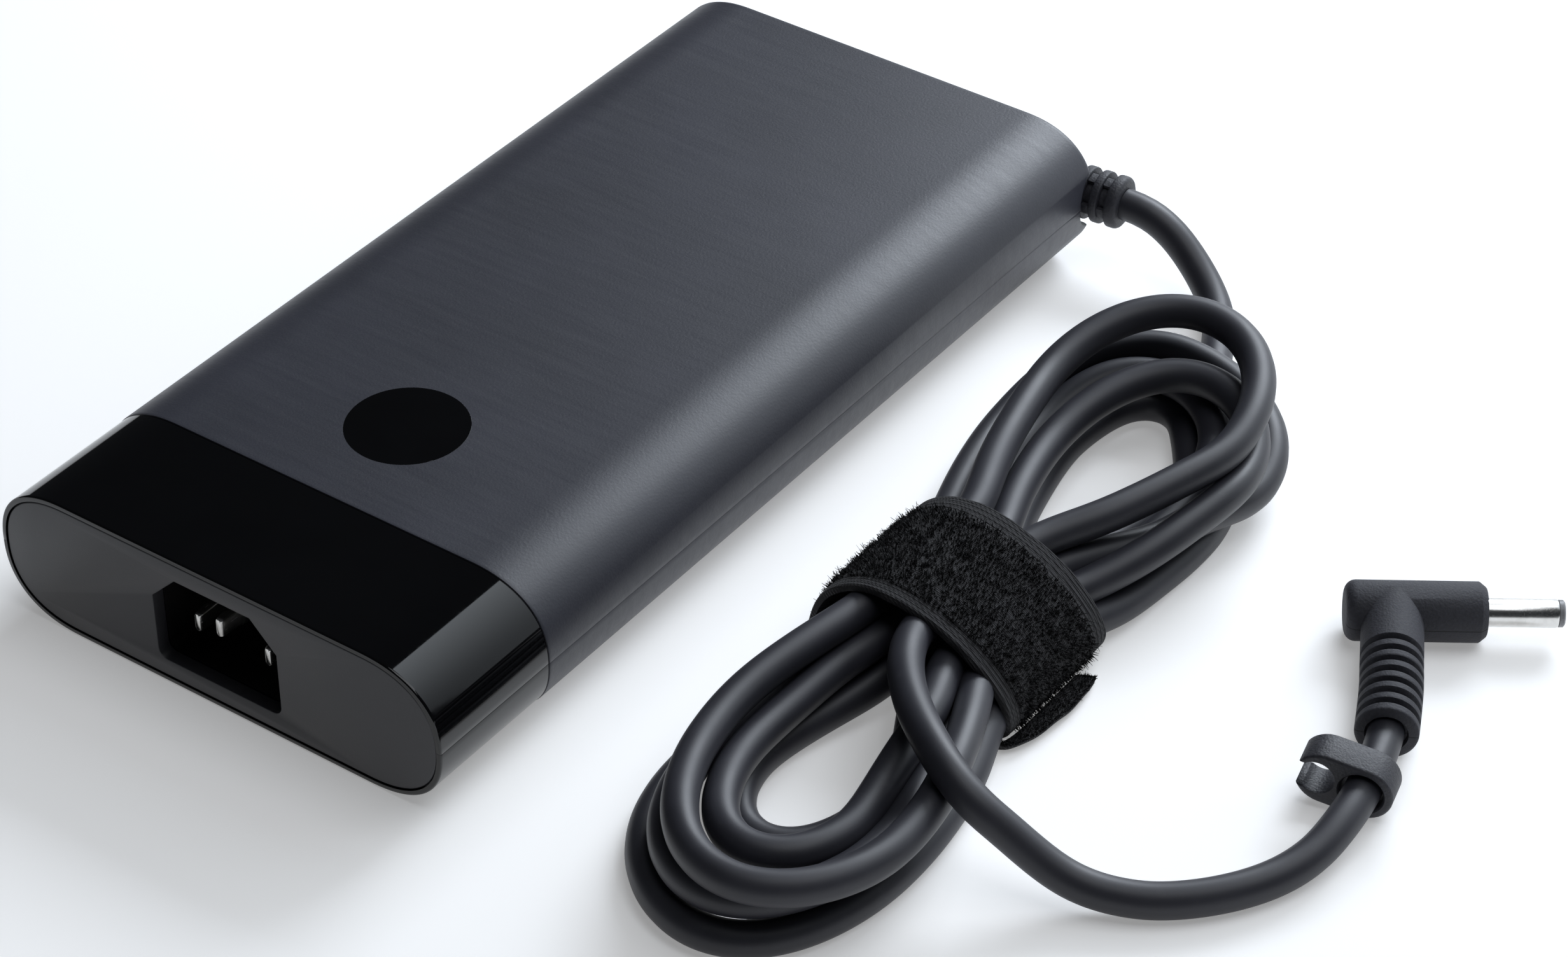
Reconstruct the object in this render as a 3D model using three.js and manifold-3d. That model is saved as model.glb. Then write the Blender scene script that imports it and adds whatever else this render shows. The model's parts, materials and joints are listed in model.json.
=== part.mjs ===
// A slim 230 W laptop power adapter with its output lead tied up beside it.
// Millimetres, +Z up. The origin is the bottom centre of the case. +Y runs along the case from
// the mains inlet to the end where the lead leaves, and +X points to the lead's side.

import * as THREE from "three";
import { mergeVertices } from "three/addons/utils/BufferGeometryUtils.js";
import Module from "manifold-3d";

const wasm = await Module();
wasm.setup();

// ---- Driving dimensions ----

const CLEARANCE = 0.3; // left between pieces that touch

// Case
const LENGTH = 177;
const WIDTH = 87;
const HEIGHT = 25.4;
const SIDE_REACH = 14.7; // how far in from the widest point the rounded side starts
const SIDE_POWER = 2.36; // superellipse exponent of the rounded side, 2 being an ellipse
const WALL = 2.2;
const RIM = 0.95; // edge of the shells that shows round the end plate
const PLATE_THICKNESS = 2.3;
const PLATE_SET_BACK = 0.1;

// Corner notch that the lead leaves through: a round channel across the corner
const NOTCH_RADIUS = 5.7;
const NOTCH_Y = 89.6; // of its axis
const NOTCH_START = 30.5; // its closed end, in X
const NOTCH_WALL = 2;

// Mains inlet, IEC 60320 C14
const INLET_WIDTH = 24.4;
const INLET_HEIGHT = 16.6;
const INLET_CHAMFER = 4.8;
const INLET_CORNER = 1.6;
const INLET_DEPTH = 16;
const INLET_WALL = 1.9;
const INLET_BASE = 1.8;
const PIN_PITCH = 7; // line and neutral each side of the middle
const PIN_SIZE = [2, 4];
const PIN_ROW_Z = 10.9;
const EARTH_RAISE = 4;

// Lead
const CORD_RADIUS = 2.8;
const CORD_SIDES = 10;
const RELIEF_RADIUS = 4.65;
const RELIEF_CORE = 3.3;
const RELIEF_NECK = 2.9;
const ANCHOR_RADIUS = 4;

// Strap that ties the hank
const STRAP_FRONT = -27;
const STRAP_BACK = 0;
const STRAP_THICKNESS = 1.8;
const TAB_THICKNESS = 1.1;
const TAB_WIDTH = 2.9;
const TAB_BACK = -7;
const TAB_HINGE_X = 102.9;
const TAB_HINGE_Z = 0.8;
const HANK_HEIGHT = 20.6;

// Right-angle plug
const PLUG_ANGLE = THREE.MathUtils.degToRad(34);
const PLUG_Z = 4.85;
const HOUSING_RADIUS = 4.75;
const HOUSING_BACK = 7.4; // from the boot's axis to the closed end
const HOUSING_FRONT = 14.3; // from the boot's axis to the shoulder
const BARREL_LENGTH = 12;
const BARREL_RADIUS = 2.25;
const BARREL_BORE = 1.55;
const BOOT_RADIUS = 4.85;

// Clip on the lead. Its own X runs along it, from the middle, with the notch at the left end.
const CLIP_LENGTH = 15.1;
const CLIP_HEIGHT = 9;
const CLIP_THICKNESS = 5.65;
const CLIP_HOLE_RADIUS = 3.3;
const CLIP_HOLE_X = 2.75;
const CLIP_NOTCH_RADIUS = 2.9;
const CLIP_NOTCH_X = -4.2;
const CLIP_MOUTH = 4.1;
const CLIP_HOLE = [151.3, -7.8]; // on the lead's axis
const CLIP_TURN = THREE.MathUtils.degToRad(13.5); // off square to Y

const END = LENGTH / 2;
const MIDDLE_Z = HEIGHT / 2;
const FLOOR_Z = WALL; // inside of the case
const CEILING_Z = HEIGHT - WALL;
const BOARD_Z = 4.2;
const BOARD_THICKNESS = 1.6;
const DECK_Z = BOARD_Z + BOARD_THICKNESS + CLEARANCE; // where components stand

// ---- Materials ----

function material(color, roughness, metalness = 0) {
  return new THREE.MeshStandardMaterial({ color, roughness, metalness });
}

const SATIN_PLASTIC = material(0x2b2d33, 0.5);
const PLATE_PLASTIC = material(0x26282c, 0.42);
const INLET_PLASTIC = material(0x0c0c0d, 0.5);
const NICKEL = material(0xc9c6c0, 0.25, 1);
const CORD_RUBBER = material(0x2a2b2f, 0.55);
const STRAP_CLOTH = material(0x121214, 0.95);
const MOULDED_RUBBER = material(0x28292d, 0.6);
const BOARD_GREEN = material(0x1f5b3a, 0.6);
const FERRITE = material(0x3a3a3c, 0.7);
const COPPER = material(0xb4693a, 0.35, 1);
const TAPE_YELLOW = material(0xd8b53a, 0.5);
const FILM_BLUE = material(0x2d5aa0, 0.45);
const FILM_CREAM = material(0xd9cfae, 0.5);
const SLEEVE_BLACK = material(0x17181b, 0.35);
const ALUMINIUM = material(0xb8bbc0, 0.35, 1);
const EPOXY_BLACK = material(0x151517, 0.55);
const INSULATION = material(0xe4e1d6, 0.5);
const WIRE_RED = material(0xa6262a, 0.5);
const WIRE_BLACK = material(0x1b1b1d, 0.5);
const WIRE_BLUE = material(0x2c56a6, 0.5);
const PAD_GREY = material(0x8d9094, 0.9);

// ---- Building helpers ----

const adapter = new THREE.Group();

function add(name, geometry, finish) {
  const mesh = new THREE.Mesh(geometry, finish);
  mesh.name = name;
  adapter.add(mesh);
  return mesh;
}

function solid(geometry) {
  const bare = geometry.clone();
  bare.deleteAttribute("normal");
  bare.deleteAttribute("uv");
  const merged = mergeVertices(bare, 1e-4);
  return new wasm.Manifold(
    new wasm.Mesh({
      numProp: 3,
      vertProperties: merged.getAttribute("position").array,
      triVerts: new Uint32Array(merged.index.array),
    }),
  );
}

function geometryOf(manifold) {
  const { vertProperties, triVerts } = manifold.getMesh();
  const geometry = new THREE.BufferGeometry();
  geometry.setAttribute("position", new THREE.BufferAttribute(vertProperties, 3));
  geometry.setIndex(new THREE.BufferAttribute(triVerts, 1));
  return geometry;
}

function cut(base, ...tools) {
  return geometryOf(tools.reduce((left, tool) => left.subtract(solid(tool)), solid(base)));
}

function join(...pieces) {
  return geometryOf(pieces.map(solid).reduce((whole, piece) => whole.add(piece)));
}

function common(a, b) {
  return geometryOf(solid(a).intersect(solid(b)));
}

// A box given by its two opposite corners.
function box([x0, y0, z0], [x1, y1, z1]) {
  const geometry = new THREE.BoxGeometry(x1 - x0, y1 - y0, z1 - z0);
  return geometry.translate((x0 + x1) / 2, (y0 + y1) / 2, (z0 + z1) / 2);
}

function polygon(points) {
  return new THREE.Shape(points.map(([x, y]) => new THREE.Vector2(x, y)));
}

// A shape drawn in X and Z, extruded along Y from y0 to y1.
function prismAlongY(shape, y0, y1, curveSegments = 6) {
  const geometry = new THREE.ExtrudeGeometry(shape, { depth: y1 - y0, bevelEnabled: false, curveSegments });
  return geometry.rotateX(Math.PI / 2).translate(0, y1, 0);
}

// A shape drawn in X and Y, extruded up from z0 to z1.
function prismUp(shape, z0, z1, curveSegments = 8) {
  const geometry = new THREE.ExtrudeGeometry(shape, { depth: z1 - z0, bevelEnabled: false, curveSegments });
  return geometry.translate(0, 0, z0);
}

function cylinderBetween(from, to, radius, sides = 16, farRadius = radius) {
  const a = new THREE.Vector3(...from);
  const b = new THREE.Vector3(...to);
  const axis = b.clone().sub(a);
  const geometry = new THREE.CylinderGeometry(farRadius, radius, axis.length(), sides);
  const turn = new THREE.Quaternion().setFromUnitVectors(new THREE.Vector3(0, 1, 0), axis.clone().normalize());
  geometry.applyQuaternion(turn);
  const middle = a.add(b).multiplyScalar(0.5);
  return geometry.translate(middle.x, middle.y, middle.z);
}

function tube(points, radius, sides, steps) {
  const section = new THREE.Shape();
  for (let i = 0; i < sides; i++) {
    const angle = ((i + 0.5) * 2 * Math.PI) / sides;
    const x = radius * Math.cos(angle);
    const y = radius * Math.sin(angle);
    if (i === 0) section.moveTo(x, y);
    else section.lineTo(x, y);
  }
  const path = new THREE.CatmullRomCurve3(points.map((p) => new THREE.Vector3(...p)), false, "centripetal");
  return new THREE.ExtrudeGeometry(section, { steps, extrudePath: path, bevelEnabled: false });
}

// ---- Case ----

// The case's cross-section in X and Z, drawn in from the outside by inset.
function caseSection(inset = 0, steps = 10) {
  const flat = WIDTH / 2 - SIDE_REACH;
  const reach = SIDE_REACH - inset;
  const rise = MIDDLE_Z - inset;
  const points = [];
  for (const side of [1, -1]) {
    for (let i = 0; i <= 2 * steps; i++) {
      const angle = side * (-Math.PI / 2 + (Math.PI * i) / (2 * steps));
      const x = side * (flat + reach * Math.cos(angle) ** (2 / SIDE_POWER));
      const z = MIDDLE_Z + rise * Math.sign(Math.sin(angle)) * Math.abs(Math.sin(angle)) ** (2 / SIDE_POWER);
      points.push([x, z]);
    }
  }
  return polygon(points);
}

// Plan of the solid corner round the notch. Its inner side runs square to the relief's neck.
const NOTCH_FRONT = NOTCH_Y - NOTCH_RADIUS;
const CORNER_PLAN = [
  [60, NOTCH_FRONT - NOTCH_WALL],
  [30.2, NOTCH_FRONT - NOTCH_WALL],
  [23.6, END],
  [60, END],
];
const RELIEF_PATH = [
  [27, 81, MIDDLE_Z],
  [31.5, 85.5, MIDDLE_Z],
  [35.4, 88.1, MIDDLE_Z],
  [40, 89.5, MIDDLE_Z],
  [48.6, 90.25, MIDDLE_Z],
];

function caseWalls() {
  const hollow = cut(
    prismAlongY(caseSection(), -END, END),
    prismAlongY(caseSection(WALL), -END - 1, END - WALL),
    prismAlongY(caseSection(RIM), -END - 1, -END + PLATE_SET_BACK + PLATE_THICKNESS + CLEARANCE),
  );
  const reach = NOTCH_RADIUS + NOTCH_WALL;
  const corner = common(
    prismAlongY(caseSection(), -END, END),
    prismUp(polygon(CORNER_PLAN), MIDDLE_Z - reach, MIDDLE_Z + reach),
  );
  return cut(
    join(hollow, corner),
    cylinderBetween([NOTCH_START, NOTCH_Y, MIDDLE_Z], [WIDTH, NOTCH_Y, MIDDLE_Z], NOTCH_RADIUS, 32),
    tube(RELIEF_PATH, RELIEF_NECK + CLEARANCE + 0.1, 12, 10),
  );
}

function addCase() {
  const walls = caseWalls();
  const part = CLEARANCE / 2;
  const above = box([-WIDTH, -LENGTH, MIDDLE_Z + part], [WIDTH, LENGTH, HEIGHT + 1]);
  const below = box([-WIDTH, -LENGTH, -1], [WIDTH, LENGTH, MIDDLE_Z - part]);
  add("top_shell", common(walls, above), SATIN_PLASTIC);
  add("bottom_shell", common(walls, below), SATIN_PLASTIC);
}

// ---- Mains inlet ----

// The C14 opening in X and Z: both top corners chamfered, both bottom corners round.
function inletOutline(grow = 0) {
  const w = INLET_WIDTH / 2 + grow;
  const h = INLET_HEIGHT / 2 + grow;
  const c = INLET_CHAMFER;
  const r = INLET_CORNER;
  const shape = new THREE.Shape();
  shape.moveTo(-w + r, MIDDLE_Z - h);
  shape.lineTo(w - r, MIDDLE_Z - h);
  shape.absarc(w - r, MIDDLE_Z - h + r, r, -Math.PI / 2, 0);
  shape.lineTo(w, MIDDLE_Z + h - c);
  shape.lineTo(w - c, MIDDLE_Z + h);
  shape.lineTo(-w + c, MIDDLE_Z + h);
  shape.lineTo(-w, MIDDLE_Z + h - c);
  shape.lineTo(-w, MIDDLE_Z - h + r);
  shape.absarc(-w + r, MIDDLE_Z - h + r, r, Math.PI, 1.5 * Math.PI);
  return shape;
}

const PINS = [
  ["line_pin", -PIN_PITCH, 0, 3.8],
  ["neutral_pin", PIN_PITCH, 0, 3.8],
  ["earth_pin", 0, EARTH_RAISE, 1.2],
];

function pinBlock(x, raise, y0, y1, grow = 0) {
  const w = PIN_SIZE[0] / 2 + grow;
  const h = PIN_SIZE[1] / 2 + grow;
  const z = PIN_ROW_Z + raise;
  return box([x - w, y0, z - h], [x + w, y1, z + h]);
}

function addInlet() {
  const plateFront = -END + PLATE_SET_BACK;
  const plateBack = plateFront + PLATE_THICKNESS;
  const plate = cut(
    prismAlongY(caseSection(RIM + CLEARANCE), plateFront, plateBack),
    prismAlongY(inletOutline(), plateFront - 1, plateBack + 1),
  );
  add("end_plate", plate, PLATE_PLASTIC);

  const front = plateBack + CLEARANCE;
  const recessEnd = -END + INLET_DEPTH;
  const baseEnd = recessEnd + INLET_BASE;
  const pinHoles = PINS.map(([, x, raise]) => pinBlock(x, raise, recessEnd - 1, baseEnd + 1, 0.2));
  const housing = cut(
    prismAlongY(inletOutline(INLET_WALL), front, baseEnd),
    prismAlongY(inletOutline(), front - 1, recessEnd),
    ...pinHoles,
  );
  add("inlet_housing", housing, INLET_PLASTIC);

  const tail = 4.5; // solder tag behind the housing
  for (const [name, x, raise, tip] of PINS) {
    add(name, pinBlock(x, raise, -END + tip, baseEnd + tail), NICKEL);
  }
}

// ---- Electronics ----

function addBoard() {
  const outline = polygon([
    [-35, -62],
    [35, -62],
    [35, 74],
    [22, 80],
    [-35, 84],
  ]);
  add("circuit_board", prismUp(outline, BOARD_Z, BOARD_Z + BOARD_THICKNESS), BOARD_GREEN);
}

function addBlock(name, x, y, [w, l, h], finish, z = DECK_Z) {
  return add(name, box([x - w / 2, y - l / 2, z], [x + w / 2, y + l / 2, z + h]), finish);
}

// A wound ring standing on the board: the core, and the winding as a sleeve round part of it.
function addRingChoke(name, x, y, radius, thickness) {
  const z = DECK_Z + 0.5;
  const inner = radius * 0.5;
  const height = thickness;
  const ring = (rIn, rOut, z0, z1, start, sweep) => {
    const shape = new THREE.Shape();
    shape.absarc(0, 0, rOut, start, start + sweep, false);
    shape.absarc(0, 0, rIn, start + sweep, start, true);
    return prismUp(shape, z0, z1, 12).translate(x, y, 0);
  };
  const wire = 1.1;
  const bare = Math.PI / 6; // half of the core's arc left bare at each side
  add(`${name}_core`, ring(inner, radius, z + wire, z + wire + height, -bare, 2 * bare), FERRITE);
  const windings = ring(
    inner - wire,
    radius + wire,
    z,
    z + height + 2 * wire,
    bare + 0.05,
    2 * (Math.PI - bare - 0.05),
  );
  add(`${name}_winding`, windings, COPPER);
}

function addMainsSide() {
  addBlock("fuse", -27, -57, [4.2, 8.5, 8], EPOXY_BLACK);
  add("varistor", cylinderBetween([-20, -57, 13], [-15.8, -57, 13], 6, 16), FILM_BLUE);
  addBlock("x_capacitor_1", -2, -56, [18, 8, 14.5], TAPE_YELLOW);
  addBlock("x_capacitor_2", -22, -24, [18, 7, 13], TAPE_YELLOW);
  addRingChoke("line_choke_1", -23, -42, 8, 7);
  addRingChoke("line_choke_2", 2, -40, 8, 7);
  addBlock("y_capacitor_1", 14, -56, [7, 4, 7], FILM_BLUE);
  addBlock("y_capacitor_2", 23, -56, [7, 4, 7], FILM_BLUE);

  // The primary heat sink is a plate that stands along the board with its semiconductors on it.
  addBlock("primary_heatsink", 31, -18, [1.6, 62, 15.5], ALUMINIUM);
  addBlock("bridge_rectifier", 27.8, -38, [4, 20, 14], EPOXY_BLACK);
  addBlock("pfc_transistor", 27.9, -20, [4.2, 10.2, 14], EPOXY_BLACK);
  addBlock("pfc_diode", 27.9, -7, [4.2, 10.2, 14], EPOXY_BLACK);
}

function addPowerStage() {
  // Power factor inductor: a pot core open on two sides, with its coil showing there.
  const coreTop = DECK_Z + 14.9;
  const inductor = cut(
    box([0.4, -27, DECK_Z], [22, -3.4, coreTop]),
    box([3, -28, DECK_Z + 2.6], [19.4, -2, coreTop - 2.6]),
  );
  add("pfc_inductor_core", inductor, FERRITE);
  add("pfc_inductor_winding", cylinderBetween([11.2, -26, DECK_Z + 7.45], [11.2, -4.4, DECK_Z + 7.45], 4.4, 20), COPPER);

  for (const [i, x] of [-25.5, -8.5].entries()) {
    const z = DECK_Z + 7.9;
    add(`bulk_capacitor_${i + 1}`, cylinderBetween([x, -17, z], [x, 19, z], 7.8, 20), SLEEVE_BLACK);
  }

  // Main transformer: an E-core pair round a bobbin.
  const [x0, x1, y0, y1] = [-16, 18, 24, 52];
  const core = cut(
    box([x0, y0, DECK_Z], [x1, y1, coreTop]),
    box([x0 + 4, y0 - 1, DECK_Z + 3], [x1 - 4, y1 + 1, coreTop - 3]),
  );
  add("transformer_core", core, FERRITE);
  const bobbin = box([x0 + 4.4, y0 - 2.5, DECK_Z + 3.4], [x1 - 4.4, y1 + 2.5, coreTop - 3.4]);
  add("transformer_winding", bobbin, TAPE_YELLOW);
  addBlock("thermal_pad", 1, 38, [30, 24, 0.7], PAD_GREY, coreTop + CLEARANCE);
  addBlock("control_board", 23, 8, [1, 22, 14], BOARD_GREEN);
  addBlock("optocoupler", 23.5, 33, [6.5, 4.6, 3.6], EPOXY_BLACK);
}

function addOutputSide() {
  addBlock("secondary_heatsink", -30, 44, [1.6, 40, 15.5], ALUMINIUM);
  for (const i of [0, 1]) {
    addBlock(`output_rectifier_${i + 1}`, -26.8, 34 + 15 * i, [4.2, 10.2, 14], EPOXY_BLACK);
  }
  for (let i = 0; i < 4; i++) {
    const x = -19 + 10.5 * i;
    add(`output_capacitor_${i + 1}`, cylinderBetween([x, 64, DECK_Z], [x, 64, DECK_Z + 14], 4.4, 16), SLEEVE_BLACK);
  }
  add("output_choke", cylinderBetween([-22, 75.5, DECK_Z + 4.5], [-6, 75.5, DECK_Z + 4.5], 4, 16), FERRITE);

  // The three cores of the lead fan out in height where they leave the strain relief.
  const wires = [
    ["output_wire_positive", 14.6, 4, WIRE_RED],
    ["output_wire_sense", MIDDLE_Z, 10, WIRE_BLUE],
    ["output_wire_negative", 10.8, 16, WIRE_BLACK],
  ];
  for (const [name, z, landing, finish] of wires) {
    const route = [
      [26.4, 80.4, z],
      [20.8, 77.2, z - 0.2],
      [landing + 3.5, 75.3, z - 1.2],
      [landing + 0.5, 75, DECK_Z + 2.6],
      [landing, 75, DECK_Z + 0.2],
    ];
    add(name, tube(route, 0.7, 8, 16), finish);
  }
}

function addLinings() {
  const plate = (z0, z1, x, y0, y1) => box([-x, y0, z0], [x, y1, z1]);
  add("top_heat_spreader", plate(CEILING_Z - 0.9, CEILING_Z - 0.3, 27, -60, 78), ALUMINIUM);
  add("bottom_heat_spreader", plate(FLOOR_Z + 0.3, FLOOR_Z + 0.9, 27, -60, 78), ALUMINIUM);
  add("insulating_sheet", plate(FLOOR_Z + 1.2, FLOOR_Z + 1.5, 30, -64, 80), INSULATION);
}

// ---- Lead ----

// From the strain relief down to the hank.
const LEAD_IN = [
  [49.1, 90.3, MIDDLE_Z],
  [53.4, 90.6, 12.4],
  [58.2, 90.5, 10.1],
  [62.2, 89.7, 7.5],
  [66.3, 87.9, 5.2],
  [70.2, 85, 3.6],
  [73.4, 81.2, 2.9],
  [76.2, 76, 2.8],
  [81.2, 66.6, 2.8],
];

// From the hank round to the plug.
const LEAD_OUT = [
  [112.5, -53.6, 14.3],
  [116.8, -52.8, 11.4],
  [120.9, -52, 8.5],
  [125, -51.1, 5.9],
  [129.3, -49.9, 4.1],
  [137.3, -46.1, 2.9],
  [144.4, -39.8, 2.8],
  [149.5, -32.2, 2.8],
  [152.2, -24.6, 3.5],
  [152.65, -17.5, 4.6],
  [152.2, -12, PLUG_Z],
  [151.5, -8, PLUG_Z],
  [150.6, -4, PLUG_Z],
  [149.6, -0.3, PLUG_Z],
  [148.75, 2.75, PLUG_Z],
];

const BOOT_PATH = [
  [135.2, 29.2, PLUG_Z],
  [138.4, 23.4, PLUG_Z],
  [141.3, 18, PLUG_Z],
  [144, 13, PLUG_Z],
  [146.3, 8.2, PLUG_Z],
  [148.5, 3.4, PLUG_Z],
];

// Where each ring of the relief starts and ends, back from its tip. The first is the end flange.
const RELIEF_RINGS = [
  [0, 2.1],
  [3.5, 5],
  [6.4, 8],
];

function addRelief() {
  const arm = new THREE.Vector3(...RELIEF_PATH[4]).sub(new THREE.Vector3(...RELIEF_PATH[3])).normalize();
  const tip = new THREE.Vector3(...RELIEF_PATH[4]);
  const disc = (from, to, radius) => {
    const far = tip.clone().addScaledVector(arm, -from);
    const near = tip.clone().addScaledVector(arm, -to);
    return cylinderBetween(near.toArray(), far.toArray(), radius, 16);
  };
  const rings = RELIEF_RINGS.map(([from, to]) => disc(from, to, RELIEF_RADIUS));
  const core = disc(0.2, 7.8, RELIEF_CORE);
  const neck = tube(RELIEF_PATH, RELIEF_NECK, 12, 10);
  // The anchor inside the case lies across the neck's first stretch, 45 degrees off X.
  const [x, y, z] = RELIEF_PATH[0];
  const anchor = cylinderBetween([x + 0.6, y + 0.6, z], [x + 1.7, y + 1.7, z], ANCHOR_RADIUS, 16);
  add("strain_relief", join(neck, core, anchor, ...rings), MOULDED_RUBBER);
}

// The strap's outer outline in X and Z: flat underneath, arched over the bundle, higher on the left.
const STRAP_ARCH = [
  [66.5, 0],
  [64.2, 3.4],
  [64.6, 9],
  [67.6, 14.8],
  [73, 18.5],
  [79, 19.5],
  [86, 18.3],
  [93, 15.4],
  [98.5, 11.4],
  [101.8, 7],
  [102.6, 3],
  [100.8, 0],
];

function strapOutline(inset) {
  const curve = new THREE.CatmullRomCurve3(STRAP_ARCH.map(([x, z]) => new THREE.Vector3(x, z, 0)));
  const samples = 33;
  const points = [];
  for (let i = 0; i <= samples; i++) {
    const at = curve.getPointAt(i / samples);
    const along = curve.getTangentAt(i / samples);
    const z = Math.max(at.y - inset * along.x, inset);
    points.push([at.x + inset * along.y, z]);
  }
  return polygon(points.reverse());
}

// The hank's outline in plan: a round lobe beyond each side of the strap.
function hankPlan() {
  const shape = new THREE.Shape();
  shape.moveTo(63.6, -62);
  shape.absellipse(88, -62, 24.4, 28, Math.PI, 2 * Math.PI);
  shape.lineTo(100.5, STRAP_FRONT);
  shape.lineTo(100.5, STRAP_BACK);
  shape.lineTo(106, 38);
  shape.absellipse(81.8, 38, 24.2, 27.2, 0, Math.PI);
  shape.lineTo(66.5, STRAP_BACK);
  shape.lineTo(66.5, STRAP_FRONT);
  return shape;
}

function addLead() {
  add("cord_lead_in", tube(LEAD_IN, CORD_RADIUS, CORD_SIDES, 8), CORD_RUBBER);

  const front = STRAP_FRONT - CLEARANCE;
  const back = STRAP_BACK + CLEARANCE;
  const lobes = cut(prismUp(hankPlan(), 0, HANK_HEIGHT, 14), box([50, front, -1], [120, back, HANK_HEIGHT + 1]));
  const waist = prismAlongY(strapOutline(STRAP_THICKNESS + CLEARANCE), front - 1, back + 1);
  add("cord_hank", join(lobes, waist), CORD_RUBBER);

  const band = cut(
    prismAlongY(strapOutline(0), STRAP_FRONT, STRAP_BACK),
    prismAlongY(strapOutline(STRAP_THICKNESS), STRAP_FRONT - 1, STRAP_BACK + 1),
  );
  add("strap_band", band, STRAP_CLOTH);

  // The strap's free end, lifting off the band beside the floor.
  const lift = THREE.MathUtils.degToRad(16);
  const half = TAB_THICKNESS / 2;
  const tab = box([0, STRAP_FRONT + 0.4, -half], [TAB_WIDTH, TAB_BACK, half]);
  add("strap_tab", tab.rotateY(-lift).translate(TAB_HINGE_X, 0, TAB_HINGE_Z), STRAP_CLOTH);

  add("cord_lead_out", tube(LEAD_OUT, CORD_RADIUS, CORD_SIDES, 22), CORD_RUBBER);
}

// The clip is a flat block across the lead: a hole that slides on the lead, and an open notch
// that snaps over another strand.
function addClip() {
  const r = CLIP_HEIGHT / 2;
  const half = CLIP_LENGTH / 2 - r;
  const outline = new THREE.Shape();
  outline.absarc(half, 0, r, -Math.PI / 2, Math.PI / 2);
  outline.absarc(-half, 0, r, Math.PI / 2, 1.5 * Math.PI);
  const hole = new THREE.Path();
  hole.absarc(CLIP_HOLE_X, 0, CLIP_HOLE_RADIUS, 0, 2 * Math.PI, true);
  outline.holes.push(hole);
  const block = prismAlongY(outline, -CLIP_THICKNESS / 2, CLIP_THICKNESS / 2, 12);

  const bore = cylinderBetween([CLIP_NOTCH_X, -9, 0], [CLIP_NOTCH_X, 9, 0], CLIP_NOTCH_RADIUS, 24);
  const slot = box([-CLIP_LENGTH, -9, -CLIP_MOUTH / 2], [CLIP_NOTCH_X, 9, CLIP_MOUTH / 2]);
  const clip = cut(block, bore, slot);
  clip.translate(-CLIP_HOLE_X, 0, 0).rotateZ(CLIP_TURN).translate(CLIP_HOLE[0], CLIP_HOLE[1], PLUG_Z);
  add("cable_clip", clip, MOULDED_RUBBER);
}

function addPlug() {
  const along = new THREE.Vector3(Math.cos(PLUG_ANGLE), Math.sin(PLUG_ANGLE), 0);
  const centre = new THREE.Vector3(...BOOT_PATH[0]);
  const at = (distance) => centre.clone().addScaledVector(along, distance).toArray();

  const body = cylinderBetween(at(-HOUSING_BACK), at(HOUSING_FRONT - 0.8), HOUSING_RADIUS, 24);
  const chamfer = cylinderBetween(
    at(HOUSING_FRONT - 0.8),
    at(HOUSING_FRONT),
    HOUSING_RADIUS,
    24,
    HOUSING_RADIUS - 0.8,
  );
  const boot = tube(BOOT_PATH, BOOT_RADIUS, 16, 12);
  const barrelStart = HOUSING_FRONT - 3;
  const socket = cylinderBetween(at(barrelStart), at(HOUSING_FRONT + 1), BARREL_RADIUS + CLEARANCE, 24);
  add("plug_housing", cut(join(body, chamfer, boot), socket), MOULDED_RUBBER);

  const ring = (from, to, outer, inner) => {
    const profile = [
      [inner, from],
      [outer, from],
      [outer, to],
      [inner, to],
      [inner, from],
    ].map(([x, y]) => new THREE.Vector2(x, y));
    const turn = new THREE.Quaternion().setFromUnitVectors(new THREE.Vector3(0, 1, 0), along);
    return new THREE.LatheGeometry(profile, 24).applyQuaternion(turn).translate(...centre.toArray());
  };
  const tip = HOUSING_FRONT + BARREL_LENGTH;
  const tipRing = 0.9;
  add("plug_barrel", ring(barrelStart + CLEARANCE, tip - tipRing - 0.1, BARREL_RADIUS, BARREL_BORE), NICKEL);
  add("plug_insulator", ring(tip - tipRing, tip, BARREL_RADIUS - 0.1, BARREL_BORE), PAD_GREY);
  add("plug_centre_pin", cylinderBetween(at(barrelStart + CLEARANCE), at(tip - 2), 0.4, 12), NICKEL);
}

addCase();
addInlet();
addBoard();
addMainsSide();
addPowerStage();
addOutputSide();
addLinings();
addRelief();
addLead();
addClip();
addPlug();

export default adapter;
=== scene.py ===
import json
import math

import bmesh
import bpy
import numpy as np
from mathutils import Matrix, Vector


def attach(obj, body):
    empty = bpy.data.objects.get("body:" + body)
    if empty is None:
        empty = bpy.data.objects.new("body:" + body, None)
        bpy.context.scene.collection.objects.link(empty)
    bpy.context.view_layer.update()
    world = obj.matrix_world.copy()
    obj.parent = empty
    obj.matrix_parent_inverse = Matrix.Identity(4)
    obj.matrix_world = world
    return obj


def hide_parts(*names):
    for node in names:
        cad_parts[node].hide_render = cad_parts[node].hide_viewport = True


# A slim laptop power adapter, its lead tied in a hank beside it, on a pale studio floor.
# Shapes are worked out in millimetres, as in the CAD model, and stored in metres.

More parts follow.
